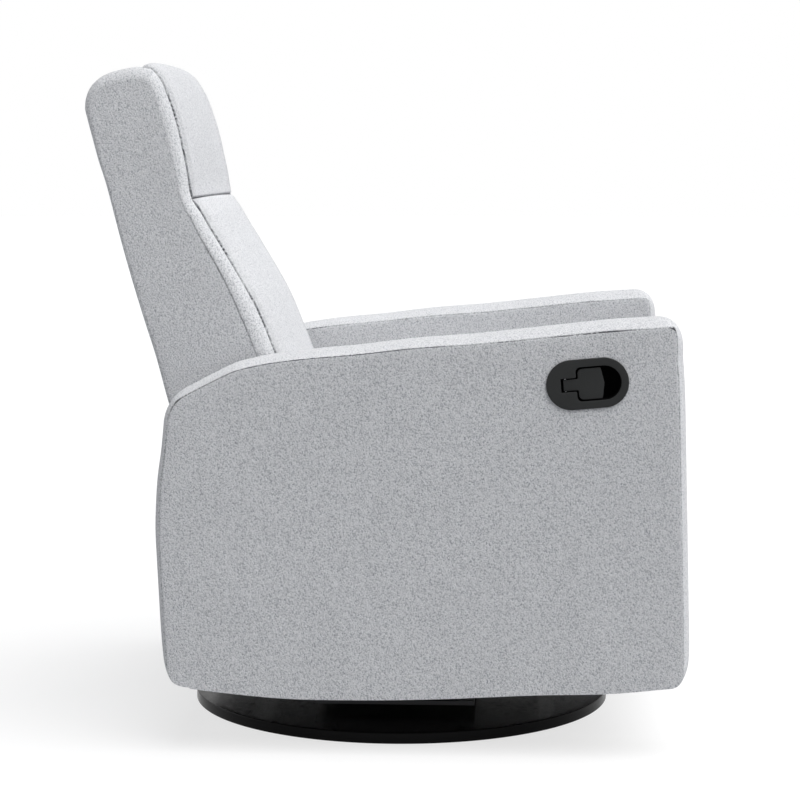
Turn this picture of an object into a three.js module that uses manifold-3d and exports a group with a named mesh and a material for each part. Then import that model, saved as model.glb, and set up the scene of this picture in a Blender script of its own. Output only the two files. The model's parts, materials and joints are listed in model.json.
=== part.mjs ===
// Swivel glider recliner with a pull-out release paddle in its right arm, in millimetres.
// +Z is up, the chair faces -Y, +X is the sitter's left, and the origin is on the floor under the swivel.
// Side outlines are drawn as (forward, up) pairs, and forward is -Y.
import * as THREE from "three";
import { mergeVertices } from "three/addons/utils/BufferGeometryUtils.js";
import Module from "manifold-3d";

const wasm = await Module();
wasm.setup();

// Fits shared by all pieces
const fit = {
  touch: 0.3, // between two pieces that rest on each other
  plate: 0.6, // between two link plates that turn side by side
  bore: 0.7, // round a pin, on the radius
  side: 4, // between a cushion and an arm
  overrun: 3, // how far a cutter passes the face it opens
  root: 1, // how deep a joined form is sunk into its neighbour
};

// Driving sizes of each sub-assembly
const seatWidth = 562; // between the arms' inner faces
const base = { radius: 337, thickness: 13, edgeRadius: 3, matThickness: 3, matInset: 6 };
const bearing = { plateRadius: 112, plateThickness: 4, ringOuter: 76, ringInner: 42, ringHeight: 9 };
const cradle = {
  length: 250, width: 424, thickness: 6, margin: 8, uprightThickness: 8, footHalf: 92, boss: 16,
};
const glide = {
  linkLength: 150, halfSpacing: 105, topHeight: 262, width: 28, thickness: 6,
  innerGap: 3, outerGap: 1.2, pinRadius: 7, headRadius: 11, topHead: 2, lowHead: 1.5,
};
const rail = { width: 24, height: 36, wall: 2, halfLength: 228 };
const arm = {
  thickness: 127, front: 443, rear: -344, top: 652, apron: 10,
  wall: 14, edgeRadius: 11, squareness: 3.2, board: 18,
};
const post = { depth: 40, frontPlace: 392, rearPlace: -292, foot: 120, frontTop: 596, rearTop: 462 };
const sidePlate = { web: 240, thickness: 5, bottom: 262, top: 318, rear: -180, front: 366 };
const rearPanel = { thickness: 18, bottom: 100, top: 362, rearPlace: -338, edgeRadius: 6 };
const seatRail = { gap: 1, width: 24, height: 26, rear: -190, front: 338, bracket: 6, heel: 48 };
const slat = { thickness: 18, rearDepth: 40, rearPlace: -118, frontDepth: 80, frontPlace: 348 };
const seat = {
  rear: -84, front: 428, thickness: 122, lip: 18, lipDepth: 32,
  corner: 34, lipCorner: 7, crown: 10, drawIn: 6, edgeRadius: 26, squareness: 7,
};
const back = {
  width: 556, bottom: 372, top: 1020, rear: -463, front: -102, wall: 14, edgeRadius: 14, squareness: 5,
};
const backPad = {
  thickness: 66, crease: 821, creaseGap: 3, bottom: 400, leanDegrees: 16,
  drawIn: 4, edgeRadius: 12, squareness: 6,
};
const headrest = { crown: 22, topCrown: 11, topReach: 70, topInset: 6 };
const lumbar = { crown: 30 };
const backFrame = {
  width: 20, depth: 22, boss: 17, railHeight: 40, railDepth: 18, setOff: 1.2,
};
const recline = {
  place: -225, height: 380, pinRadius: 8, bossRadius: 21, headRadius: 12, headThickness: 2.5,
};
const wire = { radius: 2.2, sides: 5, halfWaves: 10, amplitude: 24, stepsPerWave: 4, ramp: 12 };
const ottoman = { top: 340, bottom: 100, front: 432, padThickness: 46, boardThickness: 15, boardInset: 24 };
const pad = { corner: 16, crown: 6, drawIn: 4, edgeRadius: 14, squareness: 7 };
const linkage = {
  width: 26, thickness: 5, pinRadius: 6, headRadius: 10, headThickness: 1.6, tubeRadius: 16, tubeWall: 3,
  layers: 4, // how many plates deep the linkage is
};
const driveLink = { place: 330, height: 304, length: 165, closedDegrees: -100, openDegrees: 8 };
const padLink = { length: 140, closedDegrees: 68, openDegrees: 28, tail: 32 };
const controlLink = { height: 296, kneeShare: 0.17, kneeDrop: 44 };
const bezel = {
  length: 120, height: 73, proud: 3, tilt: 5, place: 291, centre: 556, wall: 2.5, depth: 34, clearance: 1,
};
const opening = { rear: -16, front: 49, height: 50, corner: 8, slotRear: -38.5, slotHeight: 20 };
const paddle = {
  rear: -35, shoulder: -13.5, front: 24.5, height: 45, stem: 16.5, thickness: 3, sunk: 2, chevron: 4,
};
const hinge = { radius: 1.5, place: -32, setback: 3 };
const coil = { radius: 2.3, wireRadius: 0.35, turns: 4, pitch: 1.4, steps: 8, sides: 5 };
const pawl = {
  place: 258, height: 273, width: 10, gap: 1.2, tail: 20, tailDegrees: 270, cam: 25, camDegrees: 205,
};
const cable = {
  radius: 3, wireRadius: 0.8, reach: 16, hole: 5.5, exitPlace: 226, exitHeight: 226, sides: 6, steps: 48,
};
const facet = { seat: 40, back: 90, cushion: 45, footrest: 34 }; // longest steps along the outlines

// Places that follow from them
const matTop = base.matThickness;
const discTop = matTop + fit.touch + base.thickness;
const lowerPlateTop = discTop + fit.touch + bearing.plateThickness;
const ringTop = lowerPlateTop + fit.touch + bearing.ringHeight;
const cradleTop = ringTop + fit.touch + cradle.thickness;
const halfSeat = seatWidth / 2;
const armCentre = halfSeat + arm.thickness / 2;
const armOuter = halfSeat + arm.thickness;
const uprightPlane = cradle.width / 2 - cradle.margin - cradle.uprightThickness / 2;
const uprightFace = uprightPlane + cradle.uprightThickness / 2;
const linkPlane = uprightFace + glide.innerGap + glide.thickness / 2;
const railFace = linkPlane + glide.thickness / 2 + glide.outerGap;
const railPlane = railFace + rail.width / 2;
const lowerPivot = glide.topHeight - glide.linkLength;
const armBottom = lowerPivot - rail.height / 2 - arm.apron;
const crossPlace = rail.halfLength + rail.width / 2 + fit.touch;
const crossHalf = halfSeat - fit.touch;
const seatRailFace = sidePlate.web + sidePlate.thickness + seatRail.gap;
const seatRailPlane = seatRailFace + seatRail.width / 2;
const seatRailBottom = sidePlate.top + fit.touch;
const seatRailTop = seatRailBottom + seatRail.height;
const slatBottom = seatRailTop + fit.touch;
const cushionBottom = slatBottom + slat.thickness + fit.touch;
const latchPlane = sidePlate.web - fit.plate - linkage.thickness / 2;
const seatSpringShares = [-0.3, 0, 0.3]; // of the seat slats' width
const backSpringShares = [-0.2, 0.2]; // of the back rails' width
const backRailShares = [0.1, 0.96]; // of the back uprights' length
const padRearShares = [0, 0.25, 0.5, 0.75, 1]; // of a back cushion's height, from its top

// Finishes
const finish = (color, roughness, metalness = 0) =>
  new THREE.MeshStandardMaterial({ color, roughness, metalness });
const fabric = finish(0xbcc0c6, 0.95);
const lacquer = finish(0x121213, 0.35);
const rubber = finish(0x1c1c1c, 0.9);
const steel = finish(0x3a3c3f, 0.45, 0.8);
const zinc = finish(0xa9adb2, 0.4, 0.9);
const plywood = finish(0xcaa772, 0.7);
const plastic = finish(0x333436, 0.5);

// Solids from three.js geometries, and back
function solidOf(geometry) {
  const bare = geometry.index ? geometry.toNonIndexed() : geometry.clone();
  bare.deleteAttribute("normal");
  bare.deleteAttribute("uv");
  const merged = mergeVertices(bare, 1e-3);
  const vertProperties = new Float32Array(merged.attributes.position.array);
  const triVerts = new Uint32Array(merged.index.array);
  return new wasm.Manifold(new wasm.Mesh({ numProp: 3, vertProperties, triVerts }));
}

function geometryOf(solid) {
  const mesh = solid.getMesh();
  const geometry = new THREE.BufferGeometry();
  geometry.setAttribute("position", new THREE.BufferAttribute(mesh.vertProperties, 3));
  geometry.setIndex(new THREE.BufferAttribute(mesh.triVerts, 1));
  geometry.computeVertexNormals();
  return geometry;
}

const cut = (geometry, ...tools) =>
  geometryOf(tools.reduce((solid, tool) => solid.subtract(solidOf(tool)), solidOf(geometry)));
const join = (...geometries) =>
  geometryOf(geometries.slice(1).reduce((solid, more) => solid.add(solidOf(more)), solidOf(geometries[0])));

// Basic forms: bars along the axes, round bars across the chair, discs on the swivel axis
const bar = (across, along, up) => new THREE.BoxGeometry(across, along, up);
const crossPin = (radius, length, sides = 16) =>
  new THREE.CylinderGeometry(radius, radius, length, sides).rotateZ(Math.PI / 2);
const disc = (radius, height, sides = 48) =>
  new THREE.CylinderGeometry(radius, radius, height, sides).rotateX(Math.PI / 2);
const placed = (geometry, x, forward, up) => geometry.translate(x, -forward, up);

// A hollow bar of rectangular tube, open at the two ends of its long side
function tubeBar(across, along, up, wall) {
  const sizes = [across, along, up];
  const longest = sizes.indexOf(Math.max(...sizes));
  const inner = sizes.map((size, i) => (i === longest ? size + 2 * fit.overrun : size - 2 * wall));
  return cut(bar(...sizes), bar(...inner));
}

// A flat plate drawn in side view and centred on x = 0
const sideways = new THREE.Matrix4().makeBasis(
  new THREE.Vector3(0, -1, 0),
  new THREE.Vector3(0, 0, 1),
  new THREE.Vector3(-1, 0, 0),
);
function sheetOf(shape, thickness, curveSegments = 5) {
  const settings = { depth: thickness, bevelEnabled: false, curveSegments };
  return new THREE.ExtrudeGeometry(shape, settings).translate(0, 0, -thickness / 2).applyMatrix4(sideways);
}

// The direction of an angle in side view, from forward towards up
function heading(degrees) {
  const angle = THREE.MathUtils.degToRad(degrees);
  return new THREE.Vector2(Math.cos(angle), Math.sin(angle));
}

// A strap with round ends between two side-view points, with a bore at each of the places listed
function strap(from, to, width, thickness, boreRadius = 0, bores = []) {
  const reach = to.clone().sub(from);
  const turn = reach.angle();
  const shape = new THREE.Shape();
  shape.absarc(from.x, from.y, width / 2, turn + Math.PI / 2, turn + (3 * Math.PI) / 2, false);
  shape.absarc(to.x, to.y, width / 2, turn - Math.PI / 2, turn + Math.PI / 2, false);
  for (const centre of bores) {
    const bore = new THREE.Path();
    bore.absarc(centre.x, centre.y, boreRadius, 0, 2 * Math.PI, true);
    shape.holes.push(bore);
  }
  return sheetOf(shape, thickness);
}

// A rivet on a plate's face, towards side: a shank as long as its grip, and a head beyond it
function rivet(centre, face, side, grip, radius, headRadius, headThickness) {
  const shankLength = fit.root + grip + headThickness / 2;
  const shankCentre = face + side * (shankLength / 2 - fit.root);
  const headCentre = face + side * (grip + headThickness / 2);
  const shank = placed(crossPin(radius, shankLength), shankCentre, centre.x, centre.y);
  return join(shank, placed(crossPin(headRadius, headThickness), headCentre, centre.x, centre.y));
}

// A rivet of the footrest linkage, through a number of its plates
function linkRivet(centre, face, side, plates) {
  const grip = plates * (linkage.thickness + fit.plate) + fit.plate;
  return rivet(centre, face, side, grip, linkage.pinRadius, linkage.headRadius, linkage.headThickness);
}

// Closed loops of side-view points, counter-clockwise
function loopOf(shape, divisions) {
  const points = shape.getPoints(divisions);
  if (points[0].distanceTo(points[points.length - 1]) < fit.touch) points.pop();
  return THREE.ShapeUtils.isClockWise(points) ? points.reverse() : points;
}

function insetLoop(points, inset) {
  return points.map((point, i) => {
    const before = points[(i + points.length - 1) % points.length];
    const after = points[(i + 1) % points.length];
    const along = after.clone().sub(before).normalize();
    return new THREE.Vector2(point.x - along.y * inset, point.y + along.x * inset);
  });
}

// The same loop drawn in towards its middle, by inset at its furthest points up, down, ahead and behind
function shrunkLoop(points, inset) {
  const bounds = new THREE.Box2().setFromPoints(points);
  const middle = bounds.getCenter(new THREE.Vector2());
  const size = bounds.getSize(new THREE.Vector2());
  const scale = new THREE.Vector2(1 - (2 * inset) / size.x, 1 - (2 * inset) / size.y);
  return points.map((point) => point.clone().sub(middle).multiply(scale).add(middle));
}

// A closed body through rings of equal count, each ring a list of Vector3
function loft(rings) {
  const count = rings[0].length;
  const positions = [];
  const triangles = [];
  for (const ring of rings) for (const point of ring) positions.push(point.x, point.y, point.z);
  for (let r = 0; r + 1 < rings.length; r++)
    for (let i = 0; i < count; i++) {
      const [a, b] = [r * count + i, r * count + ((i + 1) % count)];
      triangles.push(a, a + count, b, b, a + count, b + count);
    }
  for (const [ring, last] of [[0, false], [rings.length - 1, true]]) {
    const total = rings[ring].reduce((sum, point) => sum.add(point), new THREE.Vector3());
    const centre = total.divideScalar(count);
    const hub = positions.length / 3;
    positions.push(centre.x, centre.y, centre.z);
    for (let i = 0; i < count; i++) {
      const [a, b] = [ring * count + i, ring * count + ((i + 1) % count)];
      triangles.push(...(last ? [a, hub, b] : [a, b, hub]));
    }
  }
  const geometry = new THREE.BufferGeometry();
  geometry.setAttribute("position", new THREE.Float32BufferAttribute(positions, 3));
  geometry.setIndex(triangles);
  return geometry;
}

// An upholstered form: a side outline carried across the chair, its two long edges rounded off by
// edge along a superellipse, then each point moved by swell(point, share across). drawnIn makes the
// smaller outlines of the rounded edges.
const stationShares = [-1, -0.98, -0.9, -0.7, -0.35, 0, 0.35, 0.7, 0.9, 0.98, 1];
function upholstered(loop, halfWidth, edge, squareness, swell, drawnIn = insetLoop) {
  const rings = stationShares.map((share) => {
    const fullness = (1 - Math.abs(share) ** squareness) ** (1 / squareness);
    return drawnIn(loop, edge * (1 - fullness)).map((point) => {
      const moved = swell(point, share);
      const across = share * halfWidth + (moved.across ?? 0);
      return new THREE.Vector3(across, -(point.x + moved.out.x), point.y + moved.out.y);
    });
  });
  return loft(rings);
}

// The swell of a cushion: crowned along one direction and drawn in at its two sides
function cushionSwell({ centre, outward, halfLength, halfDepth, crown, drawIn }) {
  const alongside = new THREE.Vector2(outward.y, -outward.x);
  return (point, share) => {
    const offset = point.clone().sub(centre);
    const along = THREE.MathUtils.clamp(offset.dot(alongside) / halfLength, -1, 1);
    const above = THREE.MathUtils.clamp(offset.dot(outward) / halfDepth, 0, 1);
    const lift = crown * above * (1 - share ** 2) * (1 - along ** 2);
    const across = -Math.sign(share) * drawIn * share ** 2 * (1 - along ** 2);
    return { out: outward.clone().multiplyScalar(lift), across };
  };
}

const piece = (name, geometry, material, x = 0, forward = 0, up = 0) => {
  const mesh = new THREE.Mesh(geometry, material);
  mesh.name = name;
  mesh.position.set(x, -forward, up);
  return mesh;
};
const groupOf = (...children) => new THREE.Group().add(...children.flat(Infinity));
const sides = [["left", 1], ["right", -1]];

// Floor disc with its rubber mat and the fixed half of the swivel
function floorBase() {
  const profile = [new THREE.Vector2(0, 0), new THREE.Vector2(base.radius, 0)];
  const turn = new THREE.Vector2(base.radius - base.edgeRadius, base.thickness - base.edgeRadius);
  for (let step = 0; step <= 3; step++)
    profile.push(heading(step * 30).multiplyScalar(base.edgeRadius).add(turn));
  profile.push(new THREE.Vector2(0, base.thickness));
  const board = new THREE.LatheGeometry(profile, 72).rotateX(Math.PI / 2);
  const mat = disc(base.radius - base.matInset, matTop, 72);
  const plate = disc(bearing.plateRadius, bearing.plateThickness);
  const hollow = disc(bearing.ringInner, bearing.ringHeight + fit.overrun);
  const ring = cut(disc(bearing.ringOuter, bearing.ringHeight), hollow);
  return groupOf(
    piece("base_mat", mat, rubber, 0, 0, matTop / 2),
    piece("base_disc", board, lacquer, 0, 0, matTop + fit.touch),
    piece("swivel_lower_plate", plate, zinc, 0, 0, lowerPlateTop - bearing.plateThickness / 2),
    piece("swivel_ball_ring", ring, zinc, 0, 0, ringTop - bearing.ringHeight / 2),
  );
}

// Turning half: a wide plate and two uprights that carry the upper glide pivots
function glideCradle() {
  const plate = bar(cradle.width, cradle.length, cradle.thickness);
  const half = glide.halfSpacing;
  const grip = glide.innerGap + glide.thickness + fit.plate;
  const uprights = sides.map(([name, side]) => {
    const foot = cradleTop + fit.touch;
    const shape = new THREE.Shape();
    shape.moveTo(-cradle.footHalf, foot);
    shape.lineTo(cradle.footHalf, foot);
    shape.lineTo(half + cradle.boss, glide.topHeight);
    shape.absarc(half, glide.topHeight, cradle.boss, 0, Math.PI / 2, false);
    shape.absarc(-half, glide.topHeight, cradle.boss, Math.PI / 2, Math.PI, false);
    const pins = [-half, half].map((place) => {
      const centre = new THREE.Vector2(place, glide.topHeight);
      return rivet(centre, side * uprightFace, side, grip, glide.pinRadius, glide.headRadius, glide.topHead);
    });
    const body = placed(sheetOf(shape, cradle.uprightThickness), side * uprightPlane, 0, 0);
    return piece("cradle_upright_" + name, join(body, ...pins), steel);
  });
  return groupOf(piece("cradle_plate", plate, steel, 0, 0, cradleTop - cradle.thickness / 2), uprights);
}

// Four hanging links, upright at rest
function glideLinks() {
  const top = new THREE.Vector2(0, 0);
  const bottom = new THREE.Vector2(0, -glide.linkLength);
  const boreRadius = glide.pinRadius + fit.bore;
  return groupOf(sides.flatMap(([name, side]) =>
    [["front", 1], ["rear", -1]].map(([end, way]) => {
      const link = strap(top, bottom, glide.width, glide.thickness, boreRadius, [top, bottom]);
      const place = way * glide.halfSpacing;
      return piece(`glide_link_${end}_${name}`, link, zinc, side * linkPlane, place, glide.topHeight);
    })));
}

// Moving chassis: lower rails with the lower glide pivots, cross rails bolted to the arms, and side
// plates that carry the footrest and the seat's sliding rails
function chassis() {
  const railBody = tubeBar(rail.width, 2 * rail.halfLength, rail.height, rail.wall);
  const grip = glide.outerGap + glide.thickness + fit.plate;
  const lowerRails = sides.map(([name, side]) => {
    const pins = [-1, 1].map((way) => {
      const centre = new THREE.Vector2(way * glide.halfSpacing, lowerPivot);
      return rivet(centre, side * railFace, -side, grip, glide.pinRadius, glide.headRadius, glide.lowHead);
    });
    const body = placed(railBody.clone(), side * railPlane, 0, lowerPivot);
    return piece("glide_rail_" + name, join(body, ...pins), steel);
  });
  const crossBody = tubeBar(2 * crossHalf, rail.width, rail.height, rail.wall);
  const crossRails = [["front", 1], ["rear", -1]].map(([name, way]) =>
    piece("cross_rail_" + name, crossBody, steel, 0, way * crossPlace, lowerPivot));
  const sidePlates = sides.map(([name, side]) => {
    const length = sidePlate.front - sidePlate.rear;
    const middle = (sidePlate.front + sidePlate.rear) / 2;
    const flangeWidth = halfSeat - fit.touch - sidePlate.web;
    const web = placed(bar(sidePlate.thickness, length, sidePlate.top - sidePlate.bottom),
      side * (sidePlate.web + sidePlate.thickness / 2), middle, (sidePlate.top + sidePlate.bottom) / 2);
    const flange = placed(bar(flangeWidth, length, sidePlate.thickness),
      side * (sidePlate.web + flangeWidth / 2), middle, sidePlate.top - sidePlate.thickness / 2);
    const { drive, anchor } = footrestPivots();
    const pinAt = (centre, plates) => linkRivet(centre, side * sidePlate.web, -side, plates);
    const pins = [pinAt(drive, 1), pinAt(anchor, linkage.layers)];
    if (side < 0) pins.push(pinAt(new THREE.Vector2(pawl.place, pawl.height), 1));
    return piece("side_plate_" + name, join(web, flange, ...pins), steel);
  });
  return [lowerRails, crossRails, sidePlates];
}

// Side outline of an arm as shares of its depth and height, drawn in by an inset from all sides
const armShares = {
  belly: [[0.07, 0.025], [0.319, 0], [0.592, 0.005], [0.842, 0.023], [0.955, 0.04]],
  frontFoot: [[1, 0.05], [1, 0.12]],
  frontTop: [[0.985, 0.9], [0.982, 1], [0.93, 0.997]],
  crest: [[0.722, 0.97], [0.471, 0.937], [0.221, 0.893], [0.104, 0.843]],
  shoulder: [[0.038, 0.803], [0.02, 0.706]],
  heel: [[0, 0.442], [0.009, 0.164]],
  rearFoot: [[0.014, 0.039], [0.07, 0.025]],
};
function armShape(inset) {
  const depth = arm.front - arm.rear - 2 * inset;
  const height = arm.top - armBottom - 2 * inset;
  const [rear, bottom] = [arm.rear + inset, armBottom + inset];
  const spot = ([along, up]) => new THREE.Vector2(rear + along * depth, bottom + up * height);
  const shape = new THREE.Shape();
  const curve = ([control, end]) =>
    shape.quadraticCurveTo(...spot(control).toArray(), ...spot(end).toArray());
  shape.moveTo(...spot(armShares.belly[0]).toArray());
  shape.splineThru(armShares.belly.slice(1).map(spot));
  curve(armShares.frontFoot);
  shape.lineTo(...spot(armShares.frontTop[0]).toArray());
  curve(armShares.frontTop.slice(1));
  shape.splineThru(armShares.crest.map(spot));
  curve(armShares.shoulder);
  shape.splineThru(armShares.heel.map(spot));
  curve(armShares.rearFoot);
  return shape;
}

// A hollow upholstered arm, open below, on a plywood board and two posts
function arms() {
  const still = () => ({ out: new THREE.Vector2() });
  const skin = upholstered(loopOf(armShape(0), 3), arm.thickness / 2, arm.edgeRadius, arm.squareness, still);
  const hollow = sheetOf(armShape(arm.wall), arm.thickness - 2 * arm.wall, 3);
  const shell = cut(skin, hollow, hollow.clone().translate(0, 0, -2 * arm.wall - fit.overrun));
  const boardInset = arm.wall + fit.touch;
  const board = sheetOf(armShape(boardInset + fit.touch), arm.board, 3);
  const postWidth = arm.thickness - 2 * arm.wall - arm.board - 3 * fit.touch;
  return sides.flatMap(([name, side]) => {
    const boardCentre = side * (halfSeat + boardInset + arm.board / 2);
    const postCentre = side * (armOuter - arm.wall - fit.touch - postWidth / 2);
    const drill = crossPin(cable.hole, 2 * (arm.wall + arm.board));
    placed(drill, side * (halfSeat + arm.wall), cable.exitPlace, cable.exitHeight);
    const right = side < 0;
    const outer = placed(shell.clone(), side * armCentre, 0, 0);
    const panel = placed(board.clone(), boardCentre, 0, 0);
    const cover = right ? cut(outer, drill, releaseHole()) : outer;
    const postOf = (end, place, top) =>
      piece(`arm_post_${end}_${name}`, bar(postWidth, post.depth, top - post.foot), plywood,
        postCentre, place, (top + post.foot) / 2);
    return [
      piece("arm_cover_" + name, cover, fabric),
      piece("arm_board_" + name, right ? cut(panel, drill) : panel, plywood),
      postOf("front", post.frontPlace, post.frontTop),
      postOf("rear", post.rearPlace, post.rearTop),
    ];
  });
}

// Fixed upholstered panel low down behind the back
function lowerRearPanel() {
  const rear = rearPanel.rearPlace;
  const face = rear + rearPanel.thickness;
  const edge = rearPanel.top - rearPanel.edgeRadius;
  const shape = new THREE.Shape();
  shape.moveTo(rear, rearPanel.bottom);
  shape.lineTo(face, rearPanel.bottom);
  shape.lineTo(face, edge);
  shape.quadraticCurveTo(face, rearPanel.top, rear + rearPanel.thickness / 2, rearPanel.top);
  shape.quadraticCurveTo(rear, rearPanel.top, rear, edge);
  return piece("lower_rear_panel", sheetOf(shape, 2 * crossHalf), fabric);
}

// Outlines of the release: an oval plate, and an opening with a narrow slot for the paddle's stem
const ovalShape = (length, height) => {
  const shape = new THREE.Shape();
  const radius = height / 2;
  shape.absarc(length / 2 - radius, 0, radius, -Math.PI / 2, Math.PI / 2, false);
  shape.absarc(radius - length / 2, 0, radius, Math.PI / 2, (3 * Math.PI) / 2, false);
  return shape;
};
function openingShape(margin) {
  const half = opening.height / 2 + margin;
  const slot = opening.slotHeight / 2 + margin;
  const rear = opening.rear - margin;
  const shape = new THREE.Shape();
  shape.moveTo(opening.slotRear - margin, -slot);
  shape.lineTo(rear, -slot);
  shape.lineTo(rear, opening.corner - half);
  shape.quadraticCurveTo(rear, -half, rear + opening.corner, -half);
  shape.absarc(opening.front + margin - half, 0, half, -Math.PI / 2, Math.PI / 2, false);
  shape.lineTo(rear + opening.corner, half);
  shape.quadraticCurveTo(rear, half, rear, half - opening.corner);
  shape.lineTo(rear, slot);
  shape.lineTo(opening.slotRear - margin, slot);
  return shape;
}
const releaseFrame = () => {
  const frame = new THREE.Group();
  frame.position.set(-armOuter, -bezel.place, bezel.centre);
  frame.rotation.x = -THREE.MathUtils.degToRad(bezel.tilt);
  frame.updateMatrix();
  return frame;
};
function releaseHole() {
  const hole = sheetOf(openingShape(bezel.wall + bezel.clearance), 2 * (arm.wall + fit.overrun));
  return hole.applyMatrix4(releaseFrame().matrix);
}

// The release cup, its sprung paddle, pin and coil; local x runs into the arm
function releaseHandle() {
  const plateThickness = bezel.proud - fit.touch;
  const plate = sheetOf(ovalShape(bezel.length, bezel.height), plateThickness, 8);
  plate.translate(-fit.touch - plateThickness / 2, 0, 0);
  const mouth = -fit.touch - fit.root;
  const tub = sheetOf(openingShape(bezel.wall), bezel.depth).translate(mouth + bezel.depth / 2, 0, 0);
  const hollowDepth = bezel.depth + fit.overrun;
  const hollow = sheetOf(openingShape(0), hollowDepth);
  hollow.translate(mouth + bezel.depth - bezel.wall - hollowDepth / 2, 0, 0);
  const cup = cut(join(plate, tub), hollow);

  const face = -bezel.proud + paddle.sunk;
  const pinPlane = face + paddle.thickness + hinge.setback;
  const shape = new THREE.Shape();
  const half = paddle.height / 2;
  shape.moveTo(paddle.rear, -paddle.stem / 2);
  shape.lineTo(paddle.shoulder, -paddle.stem / 2);
  shape.lineTo(paddle.shoulder, opening.corner - half);
  shape.quadraticCurveTo(paddle.shoulder, -half, paddle.shoulder + opening.corner, -half);
  shape.lineTo(paddle.front - paddle.chevron, -half);
  shape.lineTo(paddle.front, 0);
  shape.lineTo(paddle.front - paddle.chevron, half);
  shape.lineTo(paddle.shoulder + opening.corner, half);
  shape.quadraticCurveTo(paddle.shoulder, half, paddle.shoulder, half - opening.corner);
  shape.lineTo(paddle.shoulder, paddle.stem / 2);
  shape.lineTo(paddle.rear, paddle.stem / 2);
  const blade = sheetOf(shape, paddle.thickness).translate(face + paddle.thickness / 2, 0, 0);
  const spot = (geometry, up = 0) => placed(geometry, pinPlane, hinge.place, up);
  const barrel = spot(disc(hinge.setback + fit.touch, paddle.stem / 3, 16), paddle.stem / 3);
  const bore = spot(disc(hinge.radius + 2 * fit.touch, 2 * paddle.stem, 16));
  const handle = cut(join(blade, barrel), bore);
  const pin = spot(disc(hinge.radius, opening.slotHeight - 2 * fit.touch, 12));
  const coilTop = paddle.stem / 6 - coil.wireRadius - fit.plate;
  const spring = spot(helix(coil), coilTop - coil.turns * coil.pitch);
  const frame = releaseFrame();
  frame.add(
    piece("release_cup", cup, plastic),
    piece("release_paddle", handle, plastic),
    piece("release_pin", pin, zinc),
    piece("release_spring", spring, zinc),
  );
  return frame;
}

// A coil about the z axis: one unbroken wire of round section along a helix
function helix({ radius, wireRadius, turns, pitch, steps, sides: around }) {
  const rings = [];
  for (let step = 0; step <= turns * steps; step++) {
    const turn = (2 * Math.PI * step) / steps;
    const outward = new THREE.Vector3(Math.cos(turn), Math.sin(turn), 0);
    const centre = outward.clone().multiplyScalar(radius).setZ((pitch * step) / steps);
    const ring = [];
    for (let side = 0; side < around; side++) {
      const angle = (-2 * Math.PI * side) / around;
      ring.push(centre.clone().addScaledVector(outward, wireRadius * Math.cos(angle))
        .add(new THREE.Vector3(0, 0, -wireRadius * Math.sin(angle))));
    }
    rings.push(ring);
  }
  return loft(rings);
}

// The least distance between the surfaces of a coil's neighbouring turns
function leastCoilGap({ radius, wireRadius, turns, pitch, steps }) {
  const spot = (step) => {
    const turn = (2 * Math.PI * step) / steps;
    return new THREE.Vector3(radius * Math.cos(turn), radius * Math.sin(turn), (pitch * step) / steps);
  };
  let least = Infinity;
  for (let from = 0; from <= turns * steps; from++)
    for (let to = from + steps / 2; to <= turns * steps; to++)
      least = Math.min(least, spot(from).distanceTo(spot(to)) - 2 * wireRadius);
  return least;
}
console.log(`release spring: ${leastCoilGap(coil).toFixed(2)} mm between its turns`);

// The release cable: its sheath runs from the back of the cup down inside the arm and through it,
// and its inner wire goes on beside the tail of the latch
function releaseCable() {
  const cupBack = -armOuter - fit.root - fit.touch + bezel.depth;
  const pull = pawl.height - pawl.tail;
  const wirePlane = -(latchPlane - linkage.thickness / 2 - fit.touch - cable.wireRadius);
  const sheathEnd = pawl.place - cable.reach;
  const route = [
    [cupBack + fit.plate, 262, 553], [cupBack + cable.radius, 262, 553], [-364, 261, 551], [-357, 257, 542],
    [-356, 248, 524], [-359, 235, 490],
    [-361, 227, 450], [-361, 226, 400], [-361, 226, 330], [-360, 226, 280], [-354, 226, 246],
    [-340, 226, 229], [-322, 226, 226], [-300, 226, 226], [-282, 226, 226], [-268, 226, 229],
    [-256, 227, 234], [-246, 229, 241], [-238, 233, 248], [wirePlane, sheathEnd - cable.radius, pull],
    [wirePlane, sheathEnd, pull],
  ].map(([x, forward, up]) => new THREE.Vector3(x, -forward, up));
  const section = new THREE.Shape();
  section.absarc(0, 0, cable.radius, 0, 2 * Math.PI, false);
  const settings = {
    steps: cable.steps,
    curveSegments: cable.sides / 2,
    extrudePath: new THREE.CatmullRomCurve3(route, false, "centripetal"),
  };
  const sheath = new THREE.ExtrudeGeometry(section, settings);
  const wireLength = cable.reach + fit.root;
  const strand = new THREE.CylinderGeometry(cable.wireRadius, cable.wireRadius, wireLength, cable.sides);
  const inner = placed(strand, wirePlane, pawl.place - wireLength / 2, pull);
  return piece("release_cable", join(sheath, inner), rubber);
}

// The latch that the cable pulls, its nose just clear of the cam on the right drive link
function latchPawl() {
  const pivot = new THREE.Vector2(pawl.place, pawl.height);
  const reach = pawl.cam + pawl.gap + pawl.width / 2;
  const nose = footrestPivots().drive.add(heading(pawl.camDegrees).multiplyScalar(reach));
  const tail = pivot.clone().add(heading(pawl.tailDegrees).multiplyScalar(pawl.tail));
  const boss = placed(crossPin(linkage.headRadius, linkage.thickness), 0, pivot.x, pivot.y);
  const bore = placed(crossPin(linkage.pinRadius + fit.bore, 2 * linkage.thickness), 0, pivot.x, pivot.y);
  const arms = [nose, tail].map((end) => strap(pivot, end, pawl.width, linkage.thickness));
  return piece("latch_pawl", cut(join(boss, ...arms), bore), zinc, -latchPlane);
}

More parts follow.
